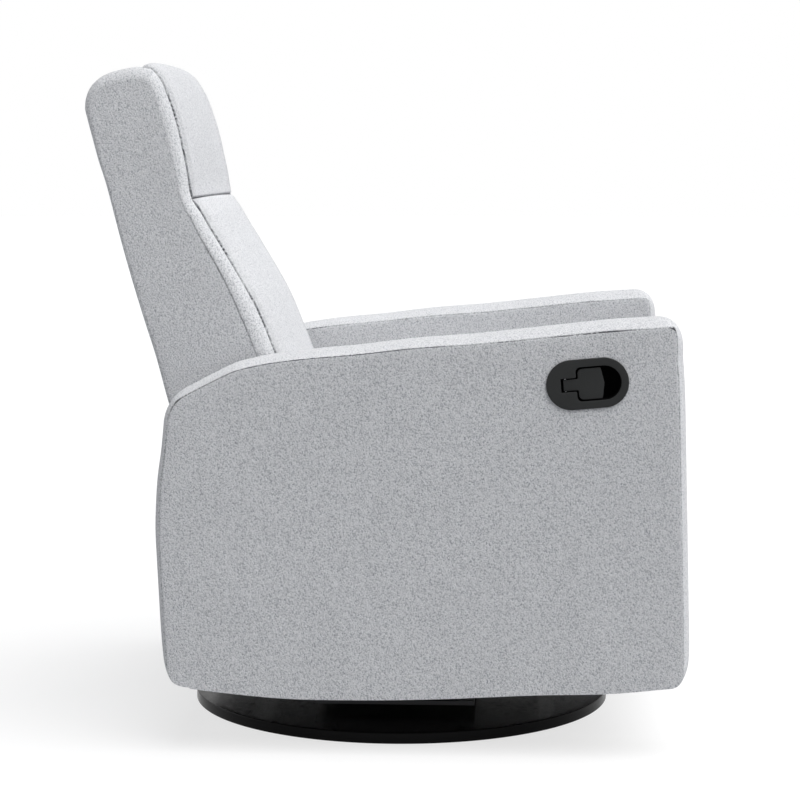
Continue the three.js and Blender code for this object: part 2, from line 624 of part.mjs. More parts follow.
// Sliding seat: steel rails with the recline bracket behind, slats, springs and the seat cushion
function seatAssembly() {
  const pivot = new THREE.Vector2(recline.place, recline.height);
  const rails = sides.map(([name, side]) => {
    const length = seatRail.front - seatRail.rear;
    const body = placed(tubeBar(seatRail.width, length, seatRail.height, rail.wall), side * seatRailPlane,
      (seatRail.front + seatRail.rear) / 2, seatRailBottom + seatRail.height / 2);
    const shape = new THREE.Shape();
    shape.moveTo(seatRail.rear + fit.root, seatRailBottom);
    shape.lineTo(seatRail.rear + seatRail.heel, seatRailBottom);
    shape.lineTo(seatRail.rear + seatRail.heel, seatRailTop);
    shape.lineTo(pivot.x + recline.bossRadius * Math.SQRT1_2, pivot.y + recline.bossRadius * Math.SQRT1_2);
    shape.absarc(pivot.x, pivot.y, recline.bossRadius, Math.PI / 4, Math.PI * 1.2, false);
    const bracket = sheetOf(shape, seatRail.bracket);
    placed(bracket, side * (seatRailFace + seatRail.bracket / 2), 0, 0);
    const grip = backFrame.width + 2 * fit.plate;
    const pin = rivet(pivot, side * seatRailFace, -side, grip,
      recline.pinRadius, recline.headRadius, recline.headThickness);
    return piece("seat_rail_" + name, join(body, bracket, pin), steel);
  });
  const slatWidth = 2 * (seatRailFace + seatRail.bracket);
  const middle = slatBottom + slat.thickness / 2;
  const slatOf = (name, depth, place) =>
    piece("seat_slat_" + name, bar(slatWidth, depth, slat.thickness), plywood, 0, place, middle);
  const springRear = slat.rearPlace + slat.rearDepth / 2 + fit.touch;
  const springFront = slat.frontPlace - slat.frontDepth / 2 - fit.touch;
  const springCentre = (springFront + springRear) / 2;
  const spring = zigzag(springFront - springRear).rotateZ(Math.PI / 2);
  return groupOf(
    rails,
    slatOf("front", slat.frontDepth, slat.frontPlace),
    slatOf("rear", slat.rearDepth, slat.rearPlace),
    seatSpringShares.map((share, i) =>
      piece("seat_spring_" + (i + 1), spring, zinc, share * slatWidth, springCentre, middle)),
    seatCushion(),
  );
}

// A flat zigzag wire along x, centred on the origin, with straight ends
function zigzag(length) {
  const rings = [];
  const count = wire.halfWaves * wire.stepsPerWave;
  const amplitudeAt = (share) => wire.amplitude * Math.min(1, wire.ramp * share * (1 - share));
  const spot = (share) => {
    const aside = amplitudeAt(share) * Math.sin(Math.PI * wire.halfWaves * share);
    return new THREE.Vector3((share - 0.5) * length, aside, 0);
  };
  for (let step = 0; step <= count; step++) {
    const share = step / count;
    const end = step === 0 || step === count;
    const span = 0.5 / count;
    const along = spot(Math.min(1, share + span)).sub(spot(Math.max(0, share - span))).normalize();
    const flat = end ? new THREE.Vector3(0, 1, 0) : new THREE.Vector3(-along.y, along.x, 0);
    const ring = [];
    for (let side = 0; side < wire.sides; side++) {
      const angle = (-2 * Math.PI * side) / wire.sides;
      ring.push(spot(share).addScaledVector(flat, wire.radius * Math.cos(angle))
        .add(new THREE.Vector3(0, 0, wire.radius * Math.sin(angle))));
    }
    rings.push(ring);
  }
  return loft(rings);
}

// A side outline with each of its corners rounded
function roundedShape(corners, radii) {
  const shape = new THREE.Shape();
  corners.forEach((corner, i) => {
    const radius = radii[i];
    const before = corners[(i + corners.length - 1) % corners.length];
    const after = corners[(i + 1) % corners.length];
    const start = corner.clone().add(before.clone().sub(corner).setLength(radius));
    const end = corner.clone().add(after.clone().sub(corner).setLength(radius));
    if (i === 0) shape.moveTo(start.x, start.y);
    else shape.lineTo(start.x, start.y);
    shape.quadraticCurveTo(corner.x, corner.y, end.x, end.y);
  });
  shape.closePath();
  return shape;
}

// Points are added along an outline wherever two lie further apart than step
function refined(points, step) {
  return points.flatMap((point, i) => {
    const next = points[(i + 1) % points.length];
    const parts = Math.max(1, Math.round(point.distanceTo(next) / step));
    return Array.from({ length: parts }, (_, part) => point.clone().lerp(next, part / parts));
  });
}

// The seat cushion's front lip hangs down before the front slat
function seatCushion() {
  const top = cushionBottom + seat.thickness;
  const lipRear = seat.front - seat.lipDepth;
  const corners = [
    [seat.rear, cushionBottom, seat.corner],
    [lipRear, cushionBottom, seat.lipCorner],
    [lipRear, cushionBottom - seat.lip, seat.lipCorner],
    [seat.front, cushionBottom - seat.lip, seat.lipCorner],
    [seat.front, top, seat.corner],
    [seat.rear, top, seat.corner],
  ];
  const shape = roundedShape(
    corners.map(([forward, up]) => new THREE.Vector2(forward, up)),
    corners.map(([, , radius]) => radius),
  );
  const swell = cushionSwell({
    centre: new THREE.Vector2((seat.rear + seat.front) / 2, (cushionBottom + top) / 2),
    outward: new THREE.Vector2(0, 1),
    halfLength: (seat.front - seat.rear) / 2,
    halfDepth: seat.thickness / 2,
    crown: seat.crown,
    drawIn: seat.drawIn,
  });
  const loop = refined(loopOf(shape, 4), facet.seat);
  const body = upholstered(loop, halfSeat - fit.side, seat.edgeRadius, seat.squareness, swell, shrunkLoop);
  return piece("seat_cushion", body, fabric);
}

// The back's side outline as shares of its depth and height
const backShares = {
  rearLine: [[0.443, 0], [0.055, 0.78], [0, 0.93]],
  bend: 0.7, // of the way from the rear line's second point to its third
  topCorner: [[0.004, 0.992], [0.13, 0.998]],
  topFront: [[0.26, 1], [0.3, 0.985]],
  face: [[0.338, 0.94], [0.374, 0.88], [0.404, 0.813], [0.429, 0.745], [0.446, 0.693], [0.512, 0.627],
    [0.58, 0.562], [0.704, 0.44], [0.787, 0.327], [0.892, 0.167], [1, 0]],
};
const backSpot = ([along, up]) => new THREE.Vector2(
  THREE.MathUtils.lerp(back.rear, back.front, along),
  THREE.MathUtils.lerp(back.bottom, back.top, up),
);
const faceCurve = new THREE.SplineCurve(backShares.face.map(backSpot));

// The forward place of the back's face at a height
function faceAt(height) {
  const points = faceCurve.getPoints(120);
  const after = points.findIndex((point) => point.y <= height);
  if (after < 1) return after === 0 ? points[0].x : points[points.length - 1].x;
  const [upper, lower] = [points[after - 1], points[after]];
  return THREE.MathUtils.mapLinear(height, upper.y, lower.y, upper.x, lower.x);
}

function backShape() {
  const shape = new THREE.Shape();
  const [foot, shoulder, crown] = backShares.rearLine.map(backSpot);
  const curve = ([control, end]) =>
    shape.quadraticCurveTo(...backSpot(control).toArray(), ...backSpot(end).toArray());
  const bend = THREE.MathUtils.lerp(shoulder.x, crown.x, backShares.bend);
  shape.moveTo(foot.x, foot.y);
  shape.lineTo(shoulder.x, shoulder.y);
  shape.quadraticCurveTo(bend, (shoulder.y + crown.y) / 2, crown.x, crown.y);
  curve(backShares.topCorner);
  curve(backShares.topFront);
  shape.splineThru(backShares.face.map(backSpot));
  return shape;
}

// Hollow back with upholstered sides, top and rear, open in front and below
function backShell() {
  const halfWidth = back.width / 2;
  const loop = refined(loopOf(backShape(), 2), facet.back);
  const lifted = (point, share) => ({ out: new THREE.Vector2(0, topLift(point, share)) });
  const skin = upholstered(loop, halfWidth, back.edgeRadius, back.squareness, lifted);
  const [foot, shoulder, crown] = backShares.rearLine.map(backSpot);
  const topInside = back.top - back.wall;
  const padTop = backSpot(backShares.topFront[0]).x;
  const ahead = back.front + 3 * back.wall;
  const pocket = new THREE.Shape();
  pocket.moveTo(foot.x + back.wall + fit.overrun, back.bottom - 2 * fit.overrun);
  pocket.lineTo(ahead, back.bottom - 2 * fit.overrun);
  pocket.lineTo(ahead, back.top + back.wall);
  pocket.lineTo(padTop, back.top + back.wall);
  pocket.lineTo(padTop, topInside);
  pocket.lineTo(crown.x + 2 * back.wall, topInside);
  pocket.lineTo(crown.x + back.wall, topInside - back.wall);
  pocket.lineTo(crown.x + back.wall, crown.y);
  pocket.lineTo(shoulder.x + back.wall, shoulder.y);
  return piece("back_shell", cut(skin, sheetOf(pocket, 2 * (halfWidth - back.wall))), fabric);
}

// How much the middle of the back's top stands above its two ends
function topLift(point, share) {
  const above = THREE.MathUtils.clamp((point.y - back.top + headrest.topReach) / headrest.topReach, 0, 1);
  return headrest.topCrown * above ** 2 * (1 - share ** 4);
}

// The two cushions on the back's face, parted by the crease; each is crowned between its edges
function backCushion(name, low, high, crown, rearLow, rearHigh) {
  const steps = Math.round((high - low) / facet.cushion);
  const front = Array.from({ length: steps + 1 }, (_, i) => {
    const height = THREE.MathUtils.lerp(low, high, i / steps);
    return new THREE.Vector2(faceAt(height) - (i === 0 || i === steps ? backPad.edgeRadius / 2 : 0), height);
  });
  const [rearFoot, rearHead] = [new THREE.Vector2(rearLow, low), new THREE.Vector2(rearHigh, high)];
  const rear = padRearShares.map((share) => rearHead.clone().lerp(rearFoot, share));
  const outward = heading(backPad.leanDegrees);
  const middle = (low + high) / 2;
  const swell = cushionSwell({
    centre: new THREE.Vector2(faceAt(middle) - backPad.thickness, middle),
    outward,
    halfLength: (high - low) / 2 / outward.x,
    halfDepth: backPad.thickness,
    crown,
    drawIn: backPad.drawIn,
  });
  const lifted = (point, share) => {
    const moved = swell(point, share);
    moved.out.y += topLift(point, share);
    return moved;
  };
  const halfWidth = back.width / 2 - back.wall - fit.touch;
  const loop = [...front, ...rear];
  return piece(name, upholstered(loop, halfWidth, backPad.edgeRadius, backPad.squareness, lifted), fabric);
}

// The reclining back: shell, cushions, and a frame of uprights, rails and springs inside it
function backAssembly() {
  const headRear = backSpot(backShares.topFront[0]).x + fit.touch;
  const lowRear = faceAt(backPad.bottom) - backPad.thickness;
  const headLow = backPad.crease + backPad.creaseGap / 2;
  const headHigh = back.top - headrest.topInset;
  const lumbarHigh = backPad.crease - backPad.creaseGap / 2;
  const foot = new THREE.Vector2(recline.place, recline.height);
  const shoulder = backSpot(backShares.rearLine[1]);
  const frameRear = shoulder.x + back.wall + backFrame.depth / 2 + backFrame.setOff;
  const head = new THREE.Vector2(frameRear, shoulder.y);
  const plane = seatRailFace - fit.plate - backFrame.width / 2;
  const uprights = sides.map(([name, side]) => {
    const stem = strap(foot, head, backFrame.depth, backFrame.width);
    const boss = placed(crossPin(backFrame.boss, backFrame.width), 0, foot.x, foot.y);
    const bore = placed(crossPin(recline.pinRadius + fit.bore, 2 * backFrame.width), 0, foot.x, foot.y);
    return piece("back_upright_" + name, cut(join(stem, boss), bore), steel, side * plane);
  });
  const railLength = 2 * (plane - backFrame.width / 2 - fit.touch);
  const lean = Math.atan2(foot.x - head.x, head.y - foot.y);
  const [low, high] = backRailShares.map((share) => foot.clone().lerp(head, share));
  const middle = low.clone().lerp(high, 0.5);
  const railBody = bar(railLength, backFrame.railDepth, backFrame.railHeight).rotateX(-lean);
  const spring = zigzag(low.distanceTo(high) - backFrame.railHeight - 2 * fit.touch);
  spring.rotateZ(Math.PI / 2).rotateX(Math.PI / 2 - lean);
  return groupOf(
    backShell(),
    backCushion("headrest_cushion", headLow, headHigh, headrest.crown, headRear, headRear),
    backCushion("lumbar_cushion", backPad.bottom, lumbarHigh, lumbar.crown, lowRear, headRear),
    uprights,
    piece("back_rail_bottom", railBody, plywood, 0, low.x, low.y),
    piece("back_rail_top", railBody, plywood, 0, high.x, high.y),
    backSpringShares.map((share, i) =>
      piece("back_spring_" + (i + 1), spring, zinc, share * railLength, middle.x, middle.y)),
  );
}

// Side-view pivots of the footrest linkage in its closed pose. The control link's anchor lies as far
// from the pad link's tail when the footrest is open as when it is closed.
function footrestPivots() {
  const drive = new THREE.Vector2(driveLink.place, driveLink.height);
  const step = (from, degrees, length) => from.clone().add(heading(degrees).multiplyScalar(length));
  const elbow = step(drive, driveLink.closedDegrees, driveLink.length);
  const hitch = step(elbow, padLink.closedDegrees, padLink.length);
  const tail = step(elbow, padLink.closedDegrees, -padLink.tail);
  const openElbow = step(drive, driveLink.openDegrees, driveLink.length);
  const openTail = step(openElbow, padLink.openDegrees, -padLink.tail);
  const middle = tail.clone().lerp(openTail, 0.5);
  const across = openTail.clone().sub(tail);
  const anchorPlace = middle.x - ((controlLink.height - middle.y) * across.y) / across.x;
  const anchor = new THREE.Vector2(anchorPlace, controlLink.height);
  return { drive, elbow, hitch, tail, anchor };
}

// Folding footrest: drive tube and links, pad links, control links, and the board with its pad
function footrest() {
  const { drive, elbow, hitch, tail, anchor } = footrestPivots();
  const reach = tail.clone().sub(anchor);
  const knee = anchor.clone().addScaledVector(reach, controlLink.kneeShare)
    .addScaledVector(new THREE.Vector2(reach.y, -reach.x).normalize(), controlLink.kneeDrop);
  const pitch = linkage.thickness + fit.plate;
  const planeOf = (layer) => latchPlane - layer * pitch;
  const boreRadius = linkage.pinRadius + fit.bore;
  const rearFace = ottoman.front - ottoman.padThickness - fit.touch;
  const boardRear = rearFace - ottoman.boardThickness - fit.touch;
  const earRadius = linkage.width / 2;
  const pieces = sides.flatMap(([name, side]) => {
    const inner = (layer) => side * (planeOf(layer) - linkage.thickness / 2);
    const elbowPin = linkRivet(elbow, inner(0), -side, 1);
    const hitchPin = linkRivet(hitch, inner(1), -side, 1);
    const driveStrap = strap(drive, elbow, linkage.width, linkage.thickness, boreRadius, [drive]);
    const camDisc = placed(crossPin(pawl.cam, linkage.thickness, 28), 0, drive.x, drive.y);
    const camBore = placed(crossPin(boreRadius, 2 * linkage.thickness), 0, drive.x, drive.y);
    const driveBody = side < 0 ? join(driveStrap, cut(camDisc, camBore)) : driveStrap;
    placed(driveBody, side * planeOf(0), 0, 0);
    const padBody = strap(tail, hitch, linkage.width, linkage.thickness, boreRadius, [elbow]);
    placed(padBody, side * planeOf(1), 0, 0);
    const controlBody = join(
      strap(anchor, knee, linkage.width, linkage.thickness, boreRadius, [anchor]),
      strap(knee, tail, linkage.width, linkage.thickness),
    );
    const ear = new THREE.Shape();
    ear.moveTo(boardRear, hitch.y - 2 * earRadius);
    ear.lineTo(boardRear, hitch.y + 2 * earRadius);
    ear.lineTo(hitch.x, hitch.y + earRadius);
    ear.absarc(hitch.x, hitch.y, earRadius, Math.PI / 2, (3 * Math.PI) / 2, false);
    const hole = new THREE.Path();
    hole.absarc(hitch.x, hitch.y, boreRadius, 0, 2 * Math.PI, true);
    ear.holes.push(hole);
    return [
      piece("footrest_drive_link_" + name, join(driveBody, elbowPin), zinc),
      piece("footrest_pad_link_" + name, join(padBody, hitchPin), zinc),
      piece("footrest_control_link_" + name, controlBody, zinc, side * planeOf(3)),
      piece("footrest_bracket_" + name, sheetOf(ear, linkage.thickness), steel, side * planeOf(2)),
    ];
  });
  const tubeHalf = planeOf(0) - linkage.thickness / 2 - fit.touch;
  const tubeBore = crossPin(linkage.tubeRadius - linkage.tubeWall, 2 * tubeHalf + fit.overrun);
  const tube = cut(crossPin(linkage.tubeRadius, 2 * tubeHalf), tubeBore);
  const boardHeight = ottoman.top - ottoman.bottom - 2 * ottoman.boardInset;
  const middle = (ottoman.top + ottoman.bottom) / 2;
  const board = bar(2 * (halfSeat - fit.side - ottoman.boardInset), ottoman.boardThickness, boardHeight);
  return groupOf(
    piece("footrest_drive_tube", tube, steel, 0, drive.x, drive.y),
    pieces,
    piece("footrest_board", board, plywood, 0, rearFace - ottoman.boardThickness / 2, middle),
    footrestPad(rearFace + fit.touch),
  );
}

function footrestPad(rear) {
  const corners = [
    new THREE.Vector2(rear, ottoman.bottom),
    new THREE.Vector2(ottoman.front - pad.crown, ottoman.bottom),
    new THREE.Vector2(ottoman.front - pad.crown, ottoman.top),
    new THREE.Vector2(rear, ottoman.top),
  ];
  const outline = roundedShape(corners, corners.map(() => pad.corner));
  const loop = refined(loopOf(outline, 4), facet.footrest);
  const swell = cushionSwell({
    centre: new THREE.Vector2(rear, (ottoman.top + ottoman.bottom) / 2),
    outward: new THREE.Vector2(1, 0),
    halfLength: (ottoman.top - ottoman.bottom) / 2,
    halfDepth: ottoman.padThickness,
    crown: pad.crown,
    drawIn: pad.drawIn,
  });
  const body = upholstered(loop, halfSeat - fit.side, pad.edgeRadius, pad.squareness, swell, shrunkLoop);
  return piece("footrest_pad", body, fabric);
}

const recliner = groupOf(
  floorBase(),
  glideCradle(),
  glideLinks(),
  chassis(),
  arms(),
  lowerRearPanel(),
  releaseHandle(),
  releaseCable(),
  latchPawl(),
  seatAssembly(),
  backAssembly(),
  footrest(),
);
recliner.name = "swivel_glider_recliner";

export default recliner;
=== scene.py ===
# Swivel glider recliner in pale heathered felt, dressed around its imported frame.
# Outlines are (forward, up) pairs in millimetres; forward is -Y, and the sitter's left is +X.
import json
import math

import bpy
import numpy as np
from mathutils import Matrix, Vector


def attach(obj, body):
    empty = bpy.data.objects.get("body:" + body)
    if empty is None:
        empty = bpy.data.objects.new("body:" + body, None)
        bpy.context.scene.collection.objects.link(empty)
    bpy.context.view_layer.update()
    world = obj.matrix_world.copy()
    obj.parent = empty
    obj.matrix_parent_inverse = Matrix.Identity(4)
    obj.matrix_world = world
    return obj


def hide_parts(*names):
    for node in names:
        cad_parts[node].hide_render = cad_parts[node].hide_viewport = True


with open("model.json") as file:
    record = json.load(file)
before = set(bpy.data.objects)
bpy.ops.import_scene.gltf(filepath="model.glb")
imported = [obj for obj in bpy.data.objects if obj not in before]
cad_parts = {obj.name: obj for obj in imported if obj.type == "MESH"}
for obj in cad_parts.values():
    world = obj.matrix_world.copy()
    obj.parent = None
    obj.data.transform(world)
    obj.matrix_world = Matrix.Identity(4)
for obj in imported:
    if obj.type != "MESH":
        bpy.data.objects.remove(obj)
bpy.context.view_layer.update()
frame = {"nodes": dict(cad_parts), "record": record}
scene = bpy.context.scene
scene.view_settings.view_transform = "Standard"
print("frame loaded:", len(frame["nodes"]), "nodes")

# ---- camera, at the photograph's angle
cameraSizes = {
    "place": (-3652.7, -191.8, 880.3),  # mm from the swivel axis, on the sitter's right
    "turn": 0.0531762,  # radians towards the chair's rear
    "tilt": 0.1071269,  # radians down
    "lens": 101.06, "sensor": 36,  # mm
    "reach": 60,  # m that it sees
}


def makeCamera(sizes):
    # it looks along the unit vector that turn and tilt give
    data = bpy.data.cameras.new("photoCamera")
    data.lens = sizes["lens"]
    data.sensor_width = sizes["sensor"]
    data.clip_end = sizes["reach"]
    camera = bpy.data.objects.new("photoCamera", data)
    turn, tilt = sizes["turn"], sizes["tilt"]
    look = Vector((math.cos(turn) * math.cos(tilt), math.sin(turn) * math.cos(tilt), -math.sin(tilt)))
    camera.location = Vector(sizes["place"]) / 1000
    camera.rotation_euler = look.to_track_quat("-Z", "Y").to_euler()
    scene.collection.objects.link(camera)
    scene.camera = camera


makeCamera(cameraSizes)

# ---- curves and loops in side view
splineSteps = 14  # points on each span of a spline


def splineThrough(points):
    # each span is the cubic between two points whose slopes are half the chord of their neighbours
    p = np.asarray(points, float)
    q = np.vstack([p[:1], p, p[-1:]])
    before, start, end, after = q[:-3, None], q[1:-2, None], q[2:-1, None], q[3:, None]
    t = np.linspace(0, 1, splineSteps, endpoint=False)[None, :, None]
    slopeIn, slopeOut = (end - before) / 2, (after - start) / 2
    curve = ((2 * start - 2 * end + slopeIn + slopeOut) * t ** 3
             + (3 * end - 3 * start - 2 * slopeIn - slopeOut) * t ** 2 + slopeIn * t + start)
    return np.vstack([curve.reshape(-1, p.shape[1]), p[-1:]])


def bend(start, control, end, count=14):
    # a parabola from start to end that leaves and arrives along the lines to control
    t = np.linspace(0, 1, count)[:, None]
    a, b, c = (np.asarray(v, float) for v in (start, control, end))
    return a * (1 - t) ** 2 + 2 * b * t * (1 - t) + c * t ** 2


def lengthsAlong(points):
    # distance travelled along the points, from zero at the first
    return np.concatenate([[0], np.cumsum(np.linalg.norm(np.diff(points, axis=0), axis=1))])


def spaced(points, places):
    # the points at the given distances along the path
    travelled = lengthsAlong(points)
    return np.stack([np.interp(places, travelled, points[:, k]) for k in range(points.shape[1])], -1)


def evenly(points, count):
    # a closed path as count points at equal distances, with those distances and the whole length
    closed = np.vstack([points, points[:1]])
    total = lengthsAlong(closed)[-1]
    places = np.arange(count) * total / count
    return spaced(closed, places), places, total


def evenLoop(points, count):
    # the same, turning counter-clockwise, without the distances
    loop = evenly(points, count)[0]
    area = np.sum(loop[:, 0] * np.roll(loop[:, 1], -1) - loop[:, 1] * np.roll(loop[:, 0], -1))
    return loop if area > 0 else loop[::-1]


def inward(loop, reach=1):
    # unit vectors square to the loop and towards its inside, from the chord of the neighbours
    chord = np.roll(loop, -reach, axis=0) - np.roll(loop, reach, axis=0)
    chord /= np.linalg.norm(chord, axis=1, keepdims=True)
    return np.stack([-chord[:, 1], chord[:, 0]], -1)


def roundedCorners(corners, count=7):
    # a polygon of (a, b, radius) corners, each corner a bend that starts radius before it
    p = np.asarray([c[:2] for c in corners], float)
    radius = np.asarray([c[2] for c in corners], float)[:, None]
    back, ahead = np.roll(p, 1, axis=0) - p, np.roll(p, -1, axis=0) - p
    start = p + back / np.linalg.norm(back, axis=1, keepdims=True) * radius
    end = p + ahead / np.linalg.norm(ahead, axis=1, keepdims=True) * radius
    return bend(start[:, None], p[:, None], end[:, None], count).reshape(-1, 2)


def arc(start, end, count, radius):
    # points at equal turns round the origin, from start to end in radians
    turn = np.linspace(start, end, count)
    return np.stack([np.cos(turn), np.sin(turn)], -1) * radius


def mirrored(lower):
    # the lower half of an outline, and back along its mirror image
    lower = np.vstack(lower)
    return np.vstack([lower, lower[::-1] * (1, -1)])


def ramp(low, high, value):
    # 0 below low, 1 above high, and a straight rise between them
    return np.clip((value - low) / (high - low), 0, 1)


def smooth(low, high, value):
    # the same with an S-shaped rise
    t = ramp(low, high, value)
    return t * t * (3 - 2 * t)


def bump(distance, width):
    # a bell of height 1 at distance 0
    return np.exp(-(distance / width) ** 2)


# ---- meshes from grids of points


def skin(name, grid, seam=None):
    # grid points (x, forward, up) in mm become (x, -forward, up) in metres; quads join neighbouring rows
    # and columns, the columns close into a ring, and a fan of triangles closes the first and last rows;
    # all is turned over if its volume is negative; seam has one value for each grid point
    rows, cols = grid.shape[:2]
    verts = grid.reshape(-1, 3) * (0.001, -0.001, 0.001)
    index = np.arange(rows * cols).reshape(rows, cols)
    after = np.roll(index, -1, axis=1)
    quads = np.stack([index[:-1], after[:-1], after[1:], index[1:]], -1).reshape(-1, 4)
    hub = rows * cols
    verts = np.vstack([verts, verts[index[0]].mean(0), verts[index[-1]].mean(0)])
    fans = np.vstack([
        np.stack([after[0], index[0], np.full(cols, hub)], -1),
        np.stack([index[-1], after[-1], np.full(cols, hub + 1)], -1),
    ])
    halves = np.vstack([quads[:, [0, 1, 2]], quads[:, [0, 2, 3]], fans])
    a, b, c = verts[halves[:, 0]], verts[halves[:, 1]], verts[halves[:, 2]]
    if np.einsum("ij,ij->", a, np.cross(b, c)) < 0:
        quads, fans = quads[:, ::-1], fans[:, ::-1]
    mesh = bpy.data.meshes.new(name)
    mesh.from_pydata(verts.tolist(), [], quads.tolist() + fans.tolist())
    if seam is not None:
        values = np.append(seam, [seam[0].mean(), seam[-1].mean()]).astype(np.float32)
        mesh.attributes.new("seam", "FLOAT", "POINT").data.foreach_set("value", values)
    return linked(name, mesh)


def linked(name, mesh, creaseDegrees=40):
    # shaded smooth, but sharp where faces meet at more than creaseDegrees
    mesh.polygons.foreach_set("use_smooth", [True] * len(mesh.polygons))
    mesh.set_sharp_from_angle(angle=math.radians(creaseDegrees))
    mesh.validate()
    mesh.update()
    piece = bpy.data.objects.new(name, mesh)
    scene.collection.objects.link(piece)
    return piece


def across(plane, x):
    # (forward, up) points with their x in front
    x = np.broadcast_to(x, plane.shape[:-1])
    return np.concatenate([x[..., None], plane], -1)


def dressed(piece, body, material, slotName, *replaced):
    # the piece rides on the body and stands in for the replaced CAD nodes
    piece.data.materials.clear()
    piece.data.materials.append(material)
    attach(piece, body)
    if replaced:
        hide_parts(*replaced)
    return piece


# ---- materials


def linear(hexColour):
    # sRGB hex to linear light, as the sRGB curve says
    parts = [int(hexColour[i:i + 2], 16) / 255 for i in (1, 3, 5)]
    return tuple(v / 12.92 if v <= 0.04045 else ((v + 0.055) / 1.055) ** 2.4 for v in parts) + (1,)


def perMetre(millimetres):
    # the texture scale whose pattern repeats about once in that many millimetres
    return 1000 / millimetres


def addNode(tree, kind, inputs=None, **settings):
    # one node with its settings; an input is a value, or a socket that is linked to it
    node = tree.nodes.new(kind)
    for name, value in settings.items():
        setattr(node, name, value)
    for name, value in (inputs or {}).items():
        if isinstance(value, bpy.types.NodeSocket):
            tree.links.new(value, node.inputs[name])
        else:
            node.inputs[name].default_value = value
    return node


def newMaterial(name, roughness, metallic=0.0, ior=1.5, specular=0.5):
    # a material with these values, its node tree and shader, and the piece's own coordinates in metres
    material = bpy.data.materials.new(name)
    material.use_nodes = True
    tree = material.node_tree
    shader = tree.nodes["Principled BSDF"]
    shader.inputs["Roughness"].default_value = roughness
    shader.inputs["Metallic"].default_value = metallic
    if not metallic:
        shader.inputs["IOR"].default_value = ior
        shader.inputs["Specular IOR Level"].default_value = specular
    place = addNode(tree, "ShaderNodeTexCoord").outputs["Object"]
    return material, tree, shader, place


def noise(tree, place, millimetres, detail=2.0, roughness=0.5):
    # octaves of noise, each half as wide as the last and roughness times as strong
    return addNode(tree, "ShaderNodeTexNoise", {
        "Vector": place, "Scale": perMetre(millimetres), "Detail": detail, "Roughness": roughness,
    }).outputs["Fac"]


def remap(tree, value, low, high, toLow=0.0, toHigh=1.0):
    # a straight line from toLow at low to toHigh at high, and level beyond them
    return addNode(tree, "ShaderNodeMapRange", {
        "Value": value, "From Min": low, "From Max": high, "To Min": toLow, "To Max": toHigh,
    }).outputs["Result"]


def mixColour(tree, share, first, second, blend="MIX"):
    # first times one less the share, and second (or their blend) times the share
    return addNode(tree, "ShaderNodeMix", {0: share, 6: first, 7: second},
                   data_type="RGBA", blend_type=blend).outputs[2]


def maths(tree, operation, first, second=0.0):
    # the operation's result for two numbers
    return addNode(tree, "ShaderNodeMath", {0: first, 1: second}, operation=operation).outputs[0]


def finished(material, tree, shader, colour, height, millimetres):
    # colour and relief joined to the shader; a height of 1 stands that many millimetres proud
    tree.links.new(colour, shader.inputs["Base Color"])
    normal = addNode(tree, "ShaderNodeBump", {
        "Height": height, "Distance": millimetres / 1000, "Strength": 1.0,
    }).outputs["Normal"]
    tree.links.new(normal, shader.inputs["Normal"])
    return material


feltLooks = {
    "light": "#ececee", "mid": "#d9dadc", "dark": "#9b9da4", "seam": "#45474b",
    "fleckSize": 2.3,  # mm; the real fibres are finer, but this shows at this distance
    "fluffSize": 9, "cloudSize": 75,  # mm
    "pale": (0.46, 0.66), "deep": (0.48, 0.30),  # where in the fleck the light and dark fibres come up
    "stitch": 4,  # mm from one pinched place in a seam to the next
    "gape": 0.5,  # a seam more open than this shows without breaks
    "pile": 1.4, "tuft": 0.7,  # mm that the pile stands up, and the fluff's share in it
    "sheen": 0.12, "sheenRoughness": 0.6,
}


def feltMaterial(name, looks, seamed):
    # Wool-look polyester felt, carded from light and dark fibres and pressed: it gives the eye a soft
    # heather of pale and grey flecks with no shine, and a faint halo where it turns away
    material, tree, shader, place = newMaterial(name, 0.95, ior=1.45, specular=0.2)
    fleck = noise(tree, place, looks["fleckSize"], 3, 0.62)
    fluff = noise(tree, place, looks["fluffSize"], 2, 0.55)
    cloud = noise(tree, place, looks["cloudSize"], 1, 0.5)
    pale = mixColour(tree, remap(tree, fleck, *looks["pale"]), linear(looks["mid"]), linear(looks["light"]))
    heather = mixColour(tree, remap(tree, fleck, *looks["deep"]), pale, linear(looks["dark"]))
    patchy = maths(tree, "ADD", remap(tree, fluff, 0.25, 0.75, -0.03, 0.03),
                   remap(tree, cloud, 0.3, 0.7, 0.985, 1.01))
    grey = addNode(tree, "ShaderNodeCombineColor", {0: patchy, 1: patchy, 2: patchy}).outputs[0]
    colour = mixColour(tree, 1.0, heather, grey, "MULTIPLY")
    if seamed:  # the seam's fold is in the mesh, and its thread and shade are painted from the attribute
        # the attribute also holds painted shade in the cushions' crease beside the border and where their sides
        # roll off, drawn in the seam colour
        seam = addNode(tree, "ShaderNodeAttribute", attribute_name="seam").outputs["Fac"]
        dots = remap(tree, noise(tree, place, looks["stitch"], 1), 0.40, 0.54, 0.35, 1.2)
        stretches = remap(tree, noise(tree, place, looks["cloudSize"], 2), 0.40, 0.58, 0.6, 1.4)
        held = maths(tree, "MULTIPLY", dots, stretches)
        gaping = remap(tree, seam, looks["gape"], 1.0)
        broken = maths(tree, "MAXIMUM", maths(tree, "MULTIPLY", seam, held), gaping)
        colour = mixColour(tree, maths(tree, "MINIMUM", broken, 1.0), colour, linear(looks["seam"]))
    shader.inputs["Sheen Weight"].default_value = looks["sheen"]
    shader.inputs["Sheen Roughness"].default_value = looks["sheenRoughness"]
    tuft = maths(tree, "ADD", fleck, maths(tree, "MULTIPLY", fluff, looks["tuft"]))
    return finished(material, tree, shader, colour, tuft, looks["pile"])


felt = feltMaterial("pressedFelt", feltLooks, False)
# sewn felt: seams, and painted shade in the cushions' creases and rolled edges
sewnShadedFelt = feltMaterial("pressedFeltSewnShaded", feltLooks, True)

paintLooks = {"toneSize": 60, "spread": 0.06}  # mm from one tone to the next; how far roughness strays


